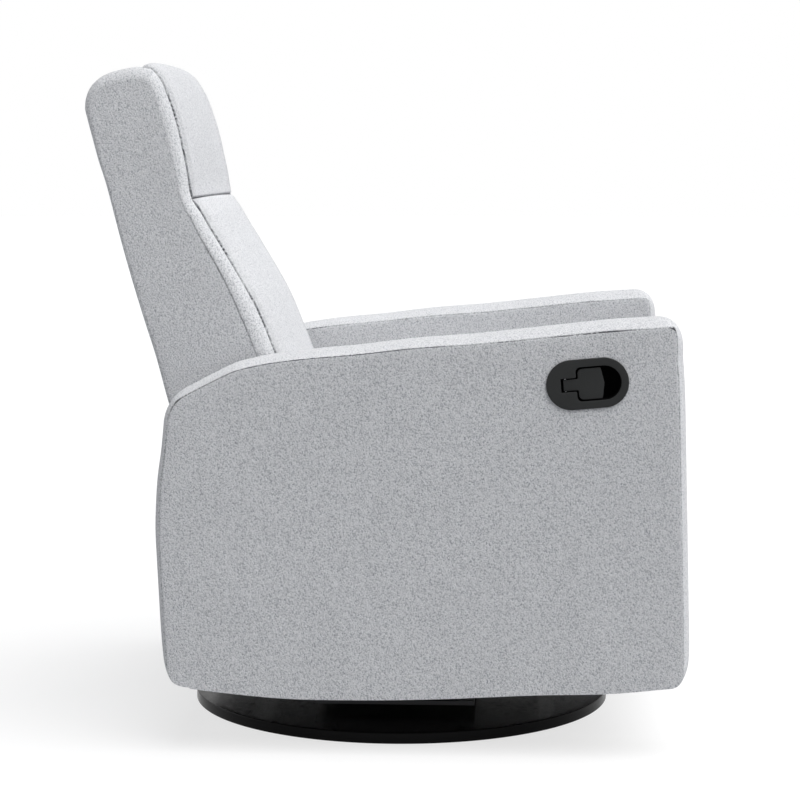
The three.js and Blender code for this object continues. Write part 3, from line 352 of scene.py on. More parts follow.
def paintMaterial(name, colour, dark, roughness, grain, height, specular=0.5):
    # A sprayed or moulded skin: fine orange peel or texture, and a slow change of tone
    material, tree, shader, place = newMaterial(name, roughness, specular=specular)
    tone = noise(tree, place, paintLooks["toneSize"], 2)
    peel = noise(tree, place, grain, 2, 0.6)
    colour = mixColour(tree, remap(tree, tone, 0.3, 0.7), linear(dark), linear(colour))
    spread = paintLooks["spread"]
    dull = remap(tree, peel, 0.3, 0.7, roughness - spread, roughness + spread)
    tree.links.new(dull, shader.inputs["Roughness"])
    return finished(material, tree, shader, colour, peel, height)


# Satin black lacquer on the floor disc, rolled on fibreboard: deep black with a soft wide reflection
lacquer = paintMaterial("satinLacquer", "#141415", "#111112", 0.2, 9, 0.02, 0.06)
# ABS with a spark-eroded grain: flat charcoal, a dull even sheen
moulded = paintMaterial("grainedAbs", "#2e2f2f", "#2a2b2b", 0.62, 1.6, 0.04, 0.2)
# The same ABS inside the cup, left rough from the tool, with its colour painted near black: painted shade for
# the dark of the hollow
mouldedPaintedShade = paintMaterial("absInsidePaintedShade", "#060606", "#040404", 0.9, 2.5, 0.08, 0.1)
# Black nitrile rubber under the disc: matt, slightly dusty
rubber = paintMaterial("nitrileRubber", "#141414", "#0e0e0e", 0.9, 5, 0.1, 0.3)
# Powder-coated steel rails and plates: near black, fine orange peel
painted = paintMaterial("powderCoatedSteel", "#0c0c0d", "#090a0a", 0.6, 3.5, 0.06, 0.08)
# PVC cable sheath, drawn smooth
sheath = paintMaterial("pvcSheath", "#121213", "#0d0d0e", 0.5, 6, 0.02)


zincLooks = {  # sizes in mm
    "dark": "#9a9fa4", "light": "#b9bdc0", "cloudSize": 18, "lineSize": 9, "fineness": (1, 1, 14),
    "roughness": (0.3, 0.46), "relief": 0.03,
}


def zincMaterial(looks):
    # Zinc-plated steel, passivated: pale grey metal, cloudy spangle and fine drawn lines
    material, tree, shader, place = newMaterial("zincPlatedSteel", 0.38, 1.0)
    cloud = noise(tree, place, looks["cloudSize"], 3)
    lines = addNode(tree, "ShaderNodeMapping", {"Vector": place, "Scale": looks["fineness"]}).outputs[0]
    drawn = noise(tree, lines, looks["lineSize"], 2)
    colour = mixColour(tree, remap(tree, cloud, 0.35, 0.65), linear(looks["dark"]), linear(looks["light"]))
    tree.links.new(remap(tree, drawn, 0.3, 0.7, *looks["roughness"]), shader.inputs["Roughness"])
    return finished(material, tree, shader, colour, drawn, looks["relief"])


plywoodLooks = {  # sizes in mm
    "dark": "#b78d5a", "light": "#dcbd8c", "grainSize": 6, "figureSize": 34, "stretch": (1, 0.06, 1),
    "relief": 0.1,
}


def plywoodMaterial(looks):
    # Birch plywood, rotary cut and sanded: long pale grain, darker early wood, dry surface
    material, tree, shader, place = newMaterial("birchPlywood", 0.72)
    stretched = addNode(tree, "ShaderNodeMapping", {"Vector": place, "Scale": looks["stretch"]}).outputs[0]
    grain = noise(tree, stretched, looks["grainSize"], 4, 0.6)
    figure = noise(tree, stretched, looks["figureSize"], 2)
    tone = maths(tree, "MULTIPLY", maths(tree, "ADD", grain, figure), 0.5)
    colour = mixColour(tree, remap(tree, tone, 0.38, 0.62), linear(looks["dark"]), linear(looks["light"]))
    return finished(material, tree, shader, colour, grain, looks["relief"])


zinc, plywood = zincMaterial(zincLooks), plywoodMaterial(plywoodLooks)
slotMaterials = {
    "felted_fabric": felt, "lacquered_board": lacquer, "rubber": rubber, "painted_steel": painted,
    "zinc_steel": zinc, "plywood": plywood, "moulded_plastic": moulded, "cable_sheath": sheath,
}


def dressFrame():
    # every carried-over CAD node gets the finish of its slot in the record
    for entry in frame["record"]["materials"]:
        for name in entry.get("nodes", []):
            mesh = frame["nodes"][name].data
            mesh.materials.clear()
            mesh.materials.append(slotMaterials[entry["slot"]])


dressFrame()
print("materials made")

# ---- the two arms: flat panels sewn to a crowned strip that runs all round
armSizes = {
    "outer": 408, "inner": 281,  # faces, from the middle of the chair
    "columns": 460,
    "crown": 2.2,  # the strip's rise is one less its share across to this power
    "sink": 1.0, "sinkReach": 12, "stripReach": 3,  # panel and strip lie low beside the seam
    "seamDepth": 1.3, "seamWidth": 1.5,
    "thread": 0.7, "gape": 0.6,  # shares of seamWidth that a shut seam shows, and that opening adds
    "lean": 0.008, "leanSpread": 30,  # the top strip's rise grows so for each mm forward; in degrees
    "hollowTop": 480, "hollowShare": 0.74,  # the arm is open below
    "hollowBelow": 125, "hollowRear": -290, "hollowFront": 395,
    "holeLength": 108, "holeHeight": 61, "pockets": (37, 2),  # hidden behind the release cup
}
# how far the seam lies inside the strip's crest, and how much it shows, by the outline's bearing, the way
# that it faces: -180 rear, -90 down, 0 front, 90 up
bearings = np.array([-180, -150, -120, -90, -60, -20, 0, 25, 45, 65, 90, 94, 98, 135, 180])
seamInsets = np.array([12, 8, 3, 2, 3, 9, 12, 9, 5, 8, 10, 10, 10, 9, 12])
seamStrengths = np.array([.22, .12, .05, 0, .06, .25, .3, .3, .4, .35, .3, .34, .6, .85, .25])
sewnFrom = 0.3  # a seam that shows this much or more is fully drawn in
releaseSizes = {"place": 291, "height": 556, "tilt": math.radians(5)}
stripShares = np.array([1, .997, .993, .987, .979, .968, .952, .93, .9, .86, .8, .72, .62, .5, .36, .18, 0])
panelShares = np.array([0, .001, .002, .004, .006, .009, .013, .019, .028, .042, .065, .1, .15, .22, .32,
                        .44, .58, .72, .86, 1])


def armOutline():
    # four splines, belly, front, crest and heel, joined by bends round the control points
    sides = [splineThrough(points) for points in (
        [(-296, 98), (-281, 94.5), (-162, 83.5), (-49, 82), (74, 85), (215, 92.5), (326, 96), (410, 104)],
        [(446.5, 142), (447, 159), (446, 198), (444, 270), (440.5, 387), (436, 532), (432, 592)],
        [(384, 649), (359, 647.5), (314, 644), (224, 634), (134, 624), (83, 620), (27, 615), (-45, 606),
         (-116, 599), (-170, 592), (-207, 584.5), (-237, 575), (-302, 542)],
        [(-335, 495), (-339.5, 451), (-345.5, 408), (-348.5, 366), (-349.5, 330), (-348, 290), (-346, 247),
         (-344, 204), (-342, 168), (-339.5, 140)],
    )]
    controls = [(444, 104), (436, 657), (-329, 528), (-335.5, 99)]
    parts = []
    for side, control, after in zip(sides, controls, sides[1:] + sides[:1]):
        parts += [side[:-1], bend(side[-1], control, after[0])[:-1]]
    return np.vstack(parts)


def obround(length, height, count=96):
    # two half circles joined by straight lines
    radius = height / 2
    cap = arc(-math.pi / 2, math.pi / 2, count // 2, radius)
    return np.vstack([cap + (length / 2 - radius, 0), -cap - (length / 2 - radius, 0)])


def tilted(points, sizes):
    # local points turned by the tilt and moved to the release's place
    c, s = math.cos(sizes["tilt"]), math.sin(sizes["tilt"])
    turned = np.stack([points[..., 0] * c - points[..., 1] * s, points[..., 0] * s + points[..., 1] * c], -1)
    return turned + (sizes["place"], sizes["height"])


def matched(loop, other, centre):
    # for each point of loop, the point of the other loop in the same direction from centre
    angle = np.arctan2(*(loop - centre).T[::-1])
    otherAngle = np.arctan2(*(other - centre).T[::-1])
    order = np.argsort(otherAngle)
    wrapped = np.concatenate([otherAngle[order] + lap * 2 * math.pi for lap in (-1, 0, 1)])
    return np.stack([np.interp(angle, wrapped, np.tile(other[order, k], 3)) for k in (0, 1)], -1)


def armSkin(name, side, sizes, marks, release=None):
    # rows run from the outer panel's middle to its seam, across the strip and to the inner panel's
    # middle; a strip row is the outline drawn in by the seam's inset times (share across)^crown; a
    # panel row is a share of the way inwards; both dip into the seam
    loop = evenLoop(armOutline(), sizes["columns"])
    normal = inward(loop, 2)
    bearing = np.degrees(np.arctan2(-normal[:, 1], -normal[:, 0]))
    inset = np.interp(bearing, bearings, seamInsets)
    inset += sizes["lean"] * loop[:, 0] * bump(bearing - 90, sizes["leanSpread"])
    inset = (np.roll(inset, 1) + inset * 2 + np.roll(inset, -1)) / 4
    strength = np.interp(bearing, bearings, seamStrengths)
    sewn = smooth(0, sewnFrom, strength)
    half = (sizes["outer"] - sizes["inner"]) / 2
    middle = sizes["inner"] + half
    seamLoop = loop + normal * inset[:, None]
    rows, shares, seams = [], [], []

    def dip(distance):
        # a bell, seamDepth deep
        return sizes["seamDepth"] * bump(distance, sizes["seamWidth"]) * sewn

    def seamAt(plane, distance, face):
        # how open the seam is, and more and wider at the marks (forward, up, radius, strength, face)
        opened = np.zeros(len(loop))
        for forward, up, radius, amount, where in marks:
            if where == face:
                opened += amount * bump(np.linalg.norm(plane - (forward, up), axis=1), radius)
        wide = sizes["thread"] + sizes["gape"] * opened + strength ** 2
        return (strength + opened) * bump(distance, sizes["seamWidth"] * wide)

    def addRow(plane, x, seam, share):
        rows.append(across(plane, side * x))
        seams.append(seam)
        shares.append(np.full(len(loop), share))

    def panelRow(face, target, share):
        # lower by sink times e^(-distance / sinkReach) beside the seam
        distance = share * np.linalg.norm(target - seamLoop, axis=1)
        deep = dip(distance)
        low = sizes["sink"] * np.exp(-distance / sizes["sinkReach"]) * sewn + deep
        plane = seamLoop + (target - seamLoop) * share + normal * deep[:, None]
        addRow(plane, middle + face * (half - low), seamAt(plane, distance, face), face)

    def stripRow(share):
        # lower in the same way, by e^(-distance / stripReach)
        distance = (1 - abs(share)) * half
        deep = dip(distance)
        low = (sizes["sink"] * math.exp(-distance / sizes["stripReach"]) * sewn + deep) * np.sign(share)
        plane = loop + normal * (inset * abs(share) ** sizes["crown"] + deep)[:, None]
        addRow(plane, middle + half * share - low, seamAt(plane, distance, np.sign(share)), share)

    centre = np.tile(loop.mean(0), (len(loop), 1))
    hole = centre
    if release:
        hole = matched(loop, tilted(obround(sizes["holeLength"], sizes["holeHeight"]), release),
                      (release["place"], release["height"]))
        for depth in sizes["pockets"]:
            addRow(hole, sizes["outer"] - depth, np.zeros(len(loop)), 1)
    for share in panelShares[::-1]:
        panelRow(1, hole, share)
    for share in [*stripShares, *-stripShares[-2::-1]]:
        stripRow(share)
    for share in panelShares:
        panelRow(-1, centre, share)
    grid, shareGrid = np.stack(rows), np.stack(shares)
    # the hollow: strip points over the belly are lifted to the hollow's top
    forward = grid[..., 1]
    under = ((grid[..., 2] < sizes["hollowBelow"]) & (np.abs(shareGrid) < sizes["hollowShare"])
             & (forward > sizes["hollowRear"]) & (forward < sizes["hollowFront"]))
    grid[..., 2] = np.where(under, sizes["hollowTop"], grid[..., 2])
    return skin(name, grid, np.clip(np.stack(seams), 0, 1))


# open or pinched places along the seams: forward, up, radius, strength, face
rightMarks = [(331, 637, 29, 0.9, 1), (416, 640, 5, 5, 1), (-308, 529, 6, 0.6, 1), (150, 617, 30, 0.1, 1),
              (-100, 600, 110, 0.8, 1), (30, 615, 80, 0.6, 1), (417, 640, 5, 0.7, -1)]
leftMarks = [(417, 640, 5, 0.8, -1), (417, 640, 5, 0.8, 1), (-308, 529, 6, 0.5, 1), (210, 622, 40, 0.1, -1)]
armRight = armSkin("armRight", -1, armSizes, rightMarks, releaseSizes)
armLeft = armSkin("armLeft", 1, armSizes, leftMarks)
dressed(armRight, "chassis", sewnShadedFelt, "felted_fabric", "arm_cover_right")
dressed(armLeft, "chassis", sewnShadedFelt, "felted_fabric", "arm_cover_left")
print("arms:", len(armRight.data.polygons), "faces each")

# ---- the back's shell: side panels, a sewn border round the front, and a bed for the cushions
backSizes = {
    "halfWidth": 262, "border": 19,  # the border's depth across the chair
    "taper": 0.11, "taperFrom": 560,  # the back grows narrower towards its top
    "columns": 420, "bed": 15,
    "centre": (-335, 700), "round": 1.8,  # the side panel's middle, and the power of the border's round
    "seamDepth": 0.9, "seamWidth": 1.3, "sink": 1.0, "sinkReach": 12,
    "crown": 9, "crownFrom": 950, "crownTo": 1020,
    "rearCrown": 3,
}
faceLine = [(-369.5, 1013), (-357, 998), (-346.5, 975), (-334, 939), (-324.5, 900), (-316.5, 862), (-309.5, 822),
            (-293.5, 796), (-281.5, 775), (-257, 735), (-212, 656), (-181.5, 583), (-143, 480), (-113, 400)]

# shares of the quarter turn over the border, and (mm in from the border, share of the bed's depth)
borderTurns = (.004, .01, .02, .035, .055, .085, .12, .17, .23, .3, .38, .47, .56, .65, .74, .82, .89, .95, 1)
bedSteps = ((.8, .02), (1.5, .09), (2, .22), (2.3, .5), (2.5, .8), (2.7, 1), (8, 1), (20, 1), (50, 1), (100, 1),
            (160, 1), (210, 1))


def backPath():
    # from the rear foot up the rear line, over the top and down the face to the rounded front foot;
    # also the lengths travelled at the rear line's top, the crest, the face's top and its foot
    rear = splineThrough([(-311, 392), (-344, 503), (-363.5, 577), (-382.5, 638), (-400.5, 698), (-417.5, 759),
                          (-433, 819), (-441.5, 849), (-451.5, 879), (-460, 909), (-468, 938), (-472.5, 955)])
    crest = (-432, 1010)
    parts = [rear, bend(rear[-1], (-474, 996.5), crest)[1:], bend(crest, (-391, 1021), faceLine[0])[1:],
             splineThrough(faceLine)[1:], bend(faceLine[-1], (-102, 372), (-140, 372))[1:],
             bend((-280, 372), (-305, 372), rear[0])[:-1]]
    ends = np.cumsum([len(part) for part in parts])
    path = np.vstack(parts)
    travelled = lengthsAlong(path)
    return path, [travelled[end - 1] for end in ends[:4]]


def shapedTop(grid, sizes):
    # above taperFrom the width shrinks by the square of the climb, and the middle of the top stands
    # higher than its ends, by crown times one less the share across to the fourth
    share = np.clip(np.abs(grid[..., 0]) / sizes["halfWidth"], 0, 1)
    climb = ramp(sizes["taperFrom"], sizes["crownTo"], grid[..., 2])
    above = ramp(sizes["crownFrom"], sizes["crownTo"], grid[..., 2])
    grid[..., 0] *= 1 - sizes["taper"] * climb ** 2
    grid[..., 2] += sizes["crown"] * above ** 2 * (1 - share ** 4)
    return grid


def backSkin(sizes):
    # rows run from the right panel's middle to its seam, over the border, into the bed and across;
    # each column has its own border width, seam strength and bed depth, from its place on the path
    path, (rearTop, cornerTop, frontTop, foot) = backPath()
    loop, places, total = evenly(path, sizes["columns"])
    normal = -inward(loop, 4)  # this path turns clockwise
    along = lambda stops, values: np.interp(places, stops, values)
    down = lambda *steps: [frontTop + step for step in steps]
    width = along([0, rearTop - 90, rearTop, cornerTop, *down(0, 60, 130, 203, 260, 330, 398, 463),
                   foot - 50, foot, foot + 30, total],
                  [5, 5, 11, 17, 17, 18, 17.5, 14, 17.5, 19, 24, 25, 22, 9, 5, 5])
    strength = along([0, rearTop - 150, rearTop, cornerTop, *down(0, 60, 200, 300, 440),
                      foot, foot + 5, total],
                     [.25, .16, .07, 0, .02, .05, .13, .28, .38, .3, 0, .25])
    bed = sizes["bed"] * along([frontTop - 30, frontTop - 20, foot, foot + 6], [0, 1, 1, 0])
    rearward = along([0, 60, rearTop - 60, rearTop + 20, total - 1], [0, 1, 1, 0, 0])
    sewn = smooth(0, sewnFrom, strength)
    seamLoop = loop + normal * width[:, None]
    centre = np.array(sizes["centre"])
    rows, seams = [], []

    def sewnRow(plane, distance, low):
        # set low by that much, and further by the seam's fold, a bell seamDepth deep
        fold = bump(distance, sizes["seamWidth"]) * sewn
        rows.append(across(plane, sizes["halfWidth"] - low - sizes["seamDepth"] * fold))
        seams.append(bump(distance, sizes["seamWidth"]) * strength)

    for share in panelShares[::-1]:
        distance = share * np.linalg.norm(centre - seamLoop, axis=1)
        low = sizes["sink"] * np.exp(-distance / sizes["sinkReach"]) * sewn
        sewnRow(seamLoop + (centre - seamLoop) * share, distance, low)
    for turn in borderTurns:
        angle = turn * math.pi / 2
        drawn = 1 - math.sin(angle) ** (2 / sizes["round"])
        deep = 1 - math.cos(angle) ** (2 / sizes["round"]) if turn < 1 else 1
        distance = np.hypot(width * (1 - drawn), sizes["border"] * deep)
        sewnRow(loop + normal * (width * drawn)[:, None], distance, sizes["border"] * deep)
    edge = sizes["halfWidth"] - sizes["border"]
    for step, depth in bedSteps:
        out = rearward * sizes["rearCrown"] * (1 - ((edge - step) / edge) ** 2)
        rows.append(across(loop + normal * (bed * depth - out)[:, None], edge - step))
        seams.append(np.zeros(len(loop)))
    right = np.stack(rows)
    right[..., 0] *= -1
    left = right[::-1] * (-1, 1, 1)
    middleRow = right[-1:] * (0, 1, 1)
    grid = shapedTop(np.concatenate([right, middleRow, left]), sizes)
    seams = np.stack(seams)
    return skin("backShell", grid, np.concatenate([seams, seams[-1:], seams[::-1]]))


backShell = dressed(backSkin(backSizes), "back", sewnShadedFelt, "felted_fabric", "back_shell")
print("back shell:", len(backShell.data.polygons), "faces")

# ---- cushions: a grid form, then puffed by cloth simulation
puffSizes = {
    "voxel": 0.006, "reach": 0.009,  # metres
    "frames": 20, "blocks": 40,  # the points are handled in this many lots, to spare memory
}
clothSettings = {
    "quality": 5, "mass": 0.3, "tension_stiffness": 15, "compression_stiffness": 15,
    "bending_stiffness": 0.5, "use_pressure": True, "uniform_pressure_force": 4.0,
}


def puffed(piece, sizes, cap, hold):
    # a copy is remeshed in voxels and blown up as cloth with pressure inside; each point of the piece
    # moves by the mean of the copy's moves, weighted by exp(-(distance / reach)^2), up to cap
    # millimetres, times the share that hold allows there
    proxy = piece.copy()
    scene.collection.objects.link(proxy)
    remesh = proxy.modifiers.new("voxels", "REMESH")
    remesh.mode = "VOXEL"
    remesh.voxel_size = sizes["voxel"]
    graph = bpy.context.evaluated_depsgraph_get()
    proxy.data = bpy.data.meshes.new_from_object(proxy.evaluated_get(graph))
    proxy.modifiers.clear()
    cloth = proxy.modifiers.new("cloth", "CLOTH")
    for key, value in clothSettings.items():
        setattr(cloth.settings, key, value)
    cloth.settings.effector_weights.gravity = 0
    for step in range(1, sizes["frames"] + 1):
        scene.frame_set(step)
    graph = bpy.context.evaluated_depsgraph_get()
    start = placesOf(proxy.data.vertices)
    moves = placesOf(proxy.evaluated_get(graph).data.vertices) - start
    scene.frame_set(1)
    bpy.data.objects.remove(proxy)
    points = placesOf(piece.data.vertices)
    blocks = np.array_split(points, sizes["blocks"])
    moved = np.vstack([nearMean(block, start, moves, sizes["reach"]) for block in blocks])
    length = np.linalg.norm(moved, axis=1, keepdims=True)
    share = np.minimum(1, cap / 1000 / np.maximum(length, 1e-9))
    share *= hold(points * (1000, -1000, 1000))[:, None]
    piece.data.vertices.foreach_set("co", (points + moved * share).astype(np.float32).ravel())
    piece.data.update()
    print(piece.name, "puffed by", round(float((length * share).max() * 1000), 1), "mm at most")


def nearMean(block, start, moves, reach):
    # the moves' mean at each point of the block, weighted by exp(-(distance / reach)^2)
    apart = np.linalg.norm(block[:, None] - start[None], axis=2)
    weight = np.exp(-(apart / reach) ** 2 + (apart.min(1, keepdims=True) / reach) ** 2)
    return weight @ moves / weight.sum(1, keepdims=True)


def placesOf(items, key="co"):
    # rows of x, y, z in metres, one for each of a mesh's vertices or faces
    values = np.zeros(len(items) * 3, np.float32)
    items.foreach_get(key, values)
    return values.reshape(-1, 3).astype(float)


backPadSizes = {
    "halfWidth": 240.5, "thickness": 40,
    "columns": 84,
    "edge": 6.5,  # how far the cushion's side starts below the border's crest
    "lip": 1.1, "round": 3,  # it rises to this over the crest, by a quarter circle
    "pillow": 2.7, "pillowRound": 18,  # and further by this, more gently
    "fullness": 1.1,  # the power of its rise towards the middle
    "corner": 3.5, "wrap": 3,  # rounding along its top and bottom edges, and so many times that over the top
    "crease": 819.5,
    "swell": 5, "cap": 4.2,  # it is drawn this much low, and the simulation lifts it by up to cap
    "heldSide": (232, 195), "heldCrease": (6, 40), "heldTop": (1016, 985),  # from held to free
    "groove": (1.7, 3.4),  # mm from its side where the painted shade in the crease ends
    "shade": 0.16, "shadeReach": (3, 50),  # painted shade where its side rolls off
}


def holdBackPad(points):
    # how free the points are: not at all near the sides and the crease, and fully on the face
    sizes = backPadSizes
    crease = np.abs(points[:, 2] - sizes["crease"])
    return (smooth(*sizes["heldSide"], np.abs(points[:, 0])) * smooth(*sizes["heldCrease"], crease)
            * smooth(*sizes["heldTop"], points[:, 2]))


halfShares = np.array([1, .9985, .996, .993, .989, .984, .977, .965, .945, .915, .88, .83, .76, .67, .56,
                       .44, .3, .15, 0])
acrossShares = [*-halfShares, *halfShares[::-1][1:]]
headEdge = [(-309.5, 820.5), *faceLine[5::-1], (-388, 1018)]
headRise = [6.5, 8, 9.5, 9.5, 9, 7.5, 6, 4.2]  # how far the middle stands in front of the edge line
lumbarEdge = [(-113, 402), *faceLine[-2:6:-1], (-308.5, 818.5)]
lumbarRise = [8, 11, 13.5, 14, 13.5, 13.5, 11.5, 7.5]
# how dark the painted shade lies in the crease beside the border, by height
grooveHeights = [400, 600, 720, 822, 900, 980, 1015]
grooveShades = [0.2, 0.34, 0.5, 0.68, 0.5, 0.38, 0.12]


def quarter(distance, radius):
    # the height, from 0 to 1, that a quarter circle has risen to at that distance
    return np.sqrt(1 - (1 - np.clip(distance / radius, 0, 1)) ** 2)


def backPad(name, edgeLine, rise, sizes, wraps):
    # rows run across the chair; a row's front rises by a quarter circle from edge below the line to lip
    # above it, by a wide one to pillow above that, and to rise in the middle by (1 - share^2)^fullness;
    # its ends turn in by a quarter circle, and its rear is set back
    swell = sizes["swell"] * simulated
    curve = splineThrough(edgeLine)
    travelled = lengthsAlong(curve)
    place = np.linspace(0, travelled[-1], sizes["columns"])
    line = spaced(curve, place)
    proud = np.interp(place, travelled[::splineSteps], rise)
    chord = np.gradient(line, axis=0)
    chord /= np.linalg.norm(chord, axis=1, keepdims=True)
    outward = np.stack([chord[:, 1], -chord[:, 0]], -1)
    near = sizes["corner"]
    far = sizes["wrap"] * near if wraps else near
    inset = near * (1 - quarter(place, near)) + far * (1 - quarter(place[-1] - place, far))
    rows, seams = [], []
    for share in acrossShares:
        depth = (1 - abs(share)) * sizes["halfWidth"]
        side = (sizes["edge"] + sizes["lip"]) * quarter(depth, sizes["round"]) - sizes["edge"]
        side += sizes["pillow"] * quarter(depth, sizes["pillowRound"])
        full = (1 - share ** 2) ** sizes["fullness"]
        stand = side + (proud - sizes["lip"] - sizes["pillow"]) * full - inset
        rear = line - outward * sizes["thickness"]
        row = across(np.vstack([line + outward * stand[:, None], rear[::-1]]), share * sizes["halfWidth"])
        lower = np.vstack([outward, outward[::-1]]) * swell * holdBackPad(row)[:, None]
        rows.append(row - across(lower, 0))
        # painted shade: dark in the crease beside the border, fading out over groove from the side
        creaseShade = np.interp(row[:, 2], grooveHeights, grooveShades) * (1 - smooth(*sizes["groove"], depth))
        # and a lighter painted shade where the cushion's side rolls off, over shadeReach
        seams.append(creaseShade + sizes["shade"] * (1 - smooth(*sizes["shadeReach"], depth)))
    return skin(name, shapedTop(np.stack(rows), backSizes), np.stack(seams))


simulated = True
headrest = backPad("headrestPad", headEdge, headRise, backPadSizes, True)
lumbar = backPad("lumbarPad", lumbarEdge, lumbarRise, backPadSizes, False)

# held: heights (for the footrest, forward places) from held to free, and the share free when held
seatSizes = {
    "halfWidth": 277, "edge": 26, "squareness": 6, "crown": 12, "drawIn": 5, "swell": 5, "cap": 14,
    "held": (360, 380, 0.3), "columns": 150,
    "corners": [(-84, 363, 34), (396, 363, 7), (396, 345, 7), (428, 345, 12), (428, 485, 40), (-84, 485, 40)],
}
restSizes = {
    "halfWidth": 277, "edge": 15, "squareness": 6, "crown": 6, "drawIn": 4, "swell": 4, "cap": 8,
    "held": (390, 404, 0.2), "columns": 90,
    "corners": [(386, 100, 16), (427, 100, 18), (427, 340, 18), (386, 340, 16)],
}


def boxPad(name, sizes, up):
    # the side outline is carried across and drawn in towards its middle by edge times one less
    # (1 - share^squareness)^(1 / squareness); up is the way its face is crowned, by crown times
    # (1 - share^2)(1 - lengthways^2)
    swell = sizes["swell"] * simulated
    loop = evenLoop(roundedCorners(sizes["corners"]), sizes["columns"])
    low, high = loop.min(0), loop.max(0)
    middle, size = (low + high) / 2, high - low
    up = np.array(up, float)
    side = np.array([up[1], -up[0]])
    offset = loop - middle
    lengthways = np.clip(offset @ side / (np.abs(size @ side) / 2), -1, 1)
    above = np.clip(offset @ up / (np.abs(size @ up) / 2), 0, 1)
    rows = []
    for share in acrossShares:
        full = (1 - abs(share) ** sizes["squareness"]) ** (1 / sizes["squareness"])
        drawn = middle + offset * (1 - 2 * (sizes["edge"] * (1 - full) + swell) / size)
        lift = sizes["crown"] * above * (1 - share ** 2) * (1 - lengthways ** 2)
        inwards = sizes["drawIn"] * share ** 2 * (1 - lengthways ** 2) + swell
        x = share * sizes["halfWidth"] - math.copysign(1, share) * inwards * abs(share)
        rows.append(across(drawn + up * lift[:, None], x))
    return skin(name, np.stack(rows))


def freeBeyond(sizes, axis):
    # how free the points are: the least share up to low on that axis, and fully beyond high
    low, high, least = sizes["held"]
    return lambda points: smooth(low, high, points[:, axis]) * (1 - least) + least


seatPad = boxPad("seatPad", seatSizes, (0, 1))
restPad = boxPad("footrestPad", restSizes, (1, 0))

if simulated:
    puffed(headrest, puffSizes, backPadSizes["cap"], holdBackPad)
    puffed(lumbar, puffSizes, backPadSizes["cap"], holdBackPad)
    puffed(seatPad, puffSizes, seatSizes["cap"], freeBeyond(seatSizes, 2))
    puffed(restPad, puffSizes, restSizes["cap"], freeBeyond(restSizes, 1))

dressed(headrest, "back", sewnShadedFelt, "felted_fabric", "headrest_cushion")
dressed(lumbar, "back", sewnShadedFelt, "felted_fabric", "lumbar_cushion")
dressed(seatPad, "seat", felt, "felted_fabric", "seat_cushion")
dressed(restPad, "footrest", felt, "felted_fabric", "footrest_pad")
print("cushions made, simulated:", simulated)

# ---- profiles carried round a loop: rear panel, floor disc, release plate and paddle


def raised(plane, height):
    # flat points with the same height behind them
    return np.concatenate([plane, np.full((len(plane), 1), float(height))], 1)


def carried(loop, profile, closing=(0.97, 0.8, 0.5, 0.2), centre=None):
    # each profile row (inset, height) is the loop drawn in by inset and set at height; further rows
    # shrink the first and the last row, by the closing shares, to the centre or to their own middles
    normal = inward(loop)
    rows = [raised(loop + normal * inset, height) for inset, height in profile]

    def shrunk(row, share):
        middle = row.mean(0) if centre is None else np.append(centre, row[0, 2])
        return middle + (row - middle) * share

    first = [shrunk(rows[0], share) for share in closing[::-1]]
    last = [shrunk(rows[-1], share) for share in closing]
    return np.stack(first + rows + last)


def roundedEdge(radius, height, way, steps=5):
    # a quarter circle from the wall at (0, height - way * radius) to the face at height
    turn = np.linspace(0, math.pi / 2, steps)
    return [(radius * (1 - math.cos(t)), height - way * radius * (1 - math.sin(t))) for t in turn]


rearSizes = {
    "halfWidth": 280.4, "bottom": 100, "top": 362, "rear": -338, "thickness": 18, "corner": 10, "edge": 6,
    "columns": 260,
}


def rearPanel(sizes):
    # a rounded rectangle seen from behind, with a rounded edge
    half, low, high = sizes["halfWidth"], sizes["bottom"], sizes["top"]
    corners = [(-half, low), (half, low), (half, high), (-half, high)]
    loop = evenLoop(roundedCorners([(*corner, sizes["corner"]) for corner in corners]), sizes["columns"])
    face = sizes["rear"] + sizes["thickness"]
    profile = [(4, face), (0, face), *roundedEdge(sizes["edge"], sizes["rear"], -1)]
    grid = carried(loop, profile)
    return skin("lowerRearPanel", grid[..., [0, 2, 1]])


dressed(rearPanel(rearSizes), "chassis", felt, "felted_fabric", "lower_rear_panel")

discSizes = {"radius": 338.2, "bottom": 3.3, "lip": 0.2, "lipWidth": 5.7, "top": 17.0, "edge": 1.6,
             "columns": 256}


def floorDisc(sizes):
    # a circle with a rounded upper rim, and a lip below that hides the mat's edge
    loop = arc(0, 2 * math.pi, sizes["columns"] + 1, sizes["radius"])[:-1]
    lip, inner = sizes["lip"], sizes["lipWidth"]
    profile = [(inner + 0.6, sizes["bottom"]), (inner, sizes["bottom"]), (inner - 0.6, lip), (0.8, lip),
               (0, lip + 0.8), *roundedEdge(sizes["edge"], sizes["top"], 1, 7)]
    return skin("floorDisc", carried(loop, profile))


dressed(floorDisc(discSizes), "base", lacquer, "lacquered_board", "base_disc")

cupSizes = {
    "length": 120, "height": 73, "proud": 3, "edge": 1.1, "lip": 0.7, "wall": 2.5, "depth": 33,
    "back": 0.3,  # the plate's back stands this far off the arm
    "dullFrom": 0.6,  # deeper in the arm than this, it takes the painted shade
    "openingRear": -16, "openingFront": 49, "openingHalf": 25, "slotRear": -38.5, "slotHalf": 10,
    "corner": 8, "bevel": 1.5, "centre": (10, 0), "columns": 320,
}
paddleSizes = {
    "rear": -35, "shoulder": -13.5, "front": 24.5, "half": 22.5, "stemHalf": 8.25, "chevron": 4,
    "thickness": 3, "sunk": 2, "edge": 0.7, "corner": 8, "bevel": 1, "centre": (4, 0), "columns": 300,
}


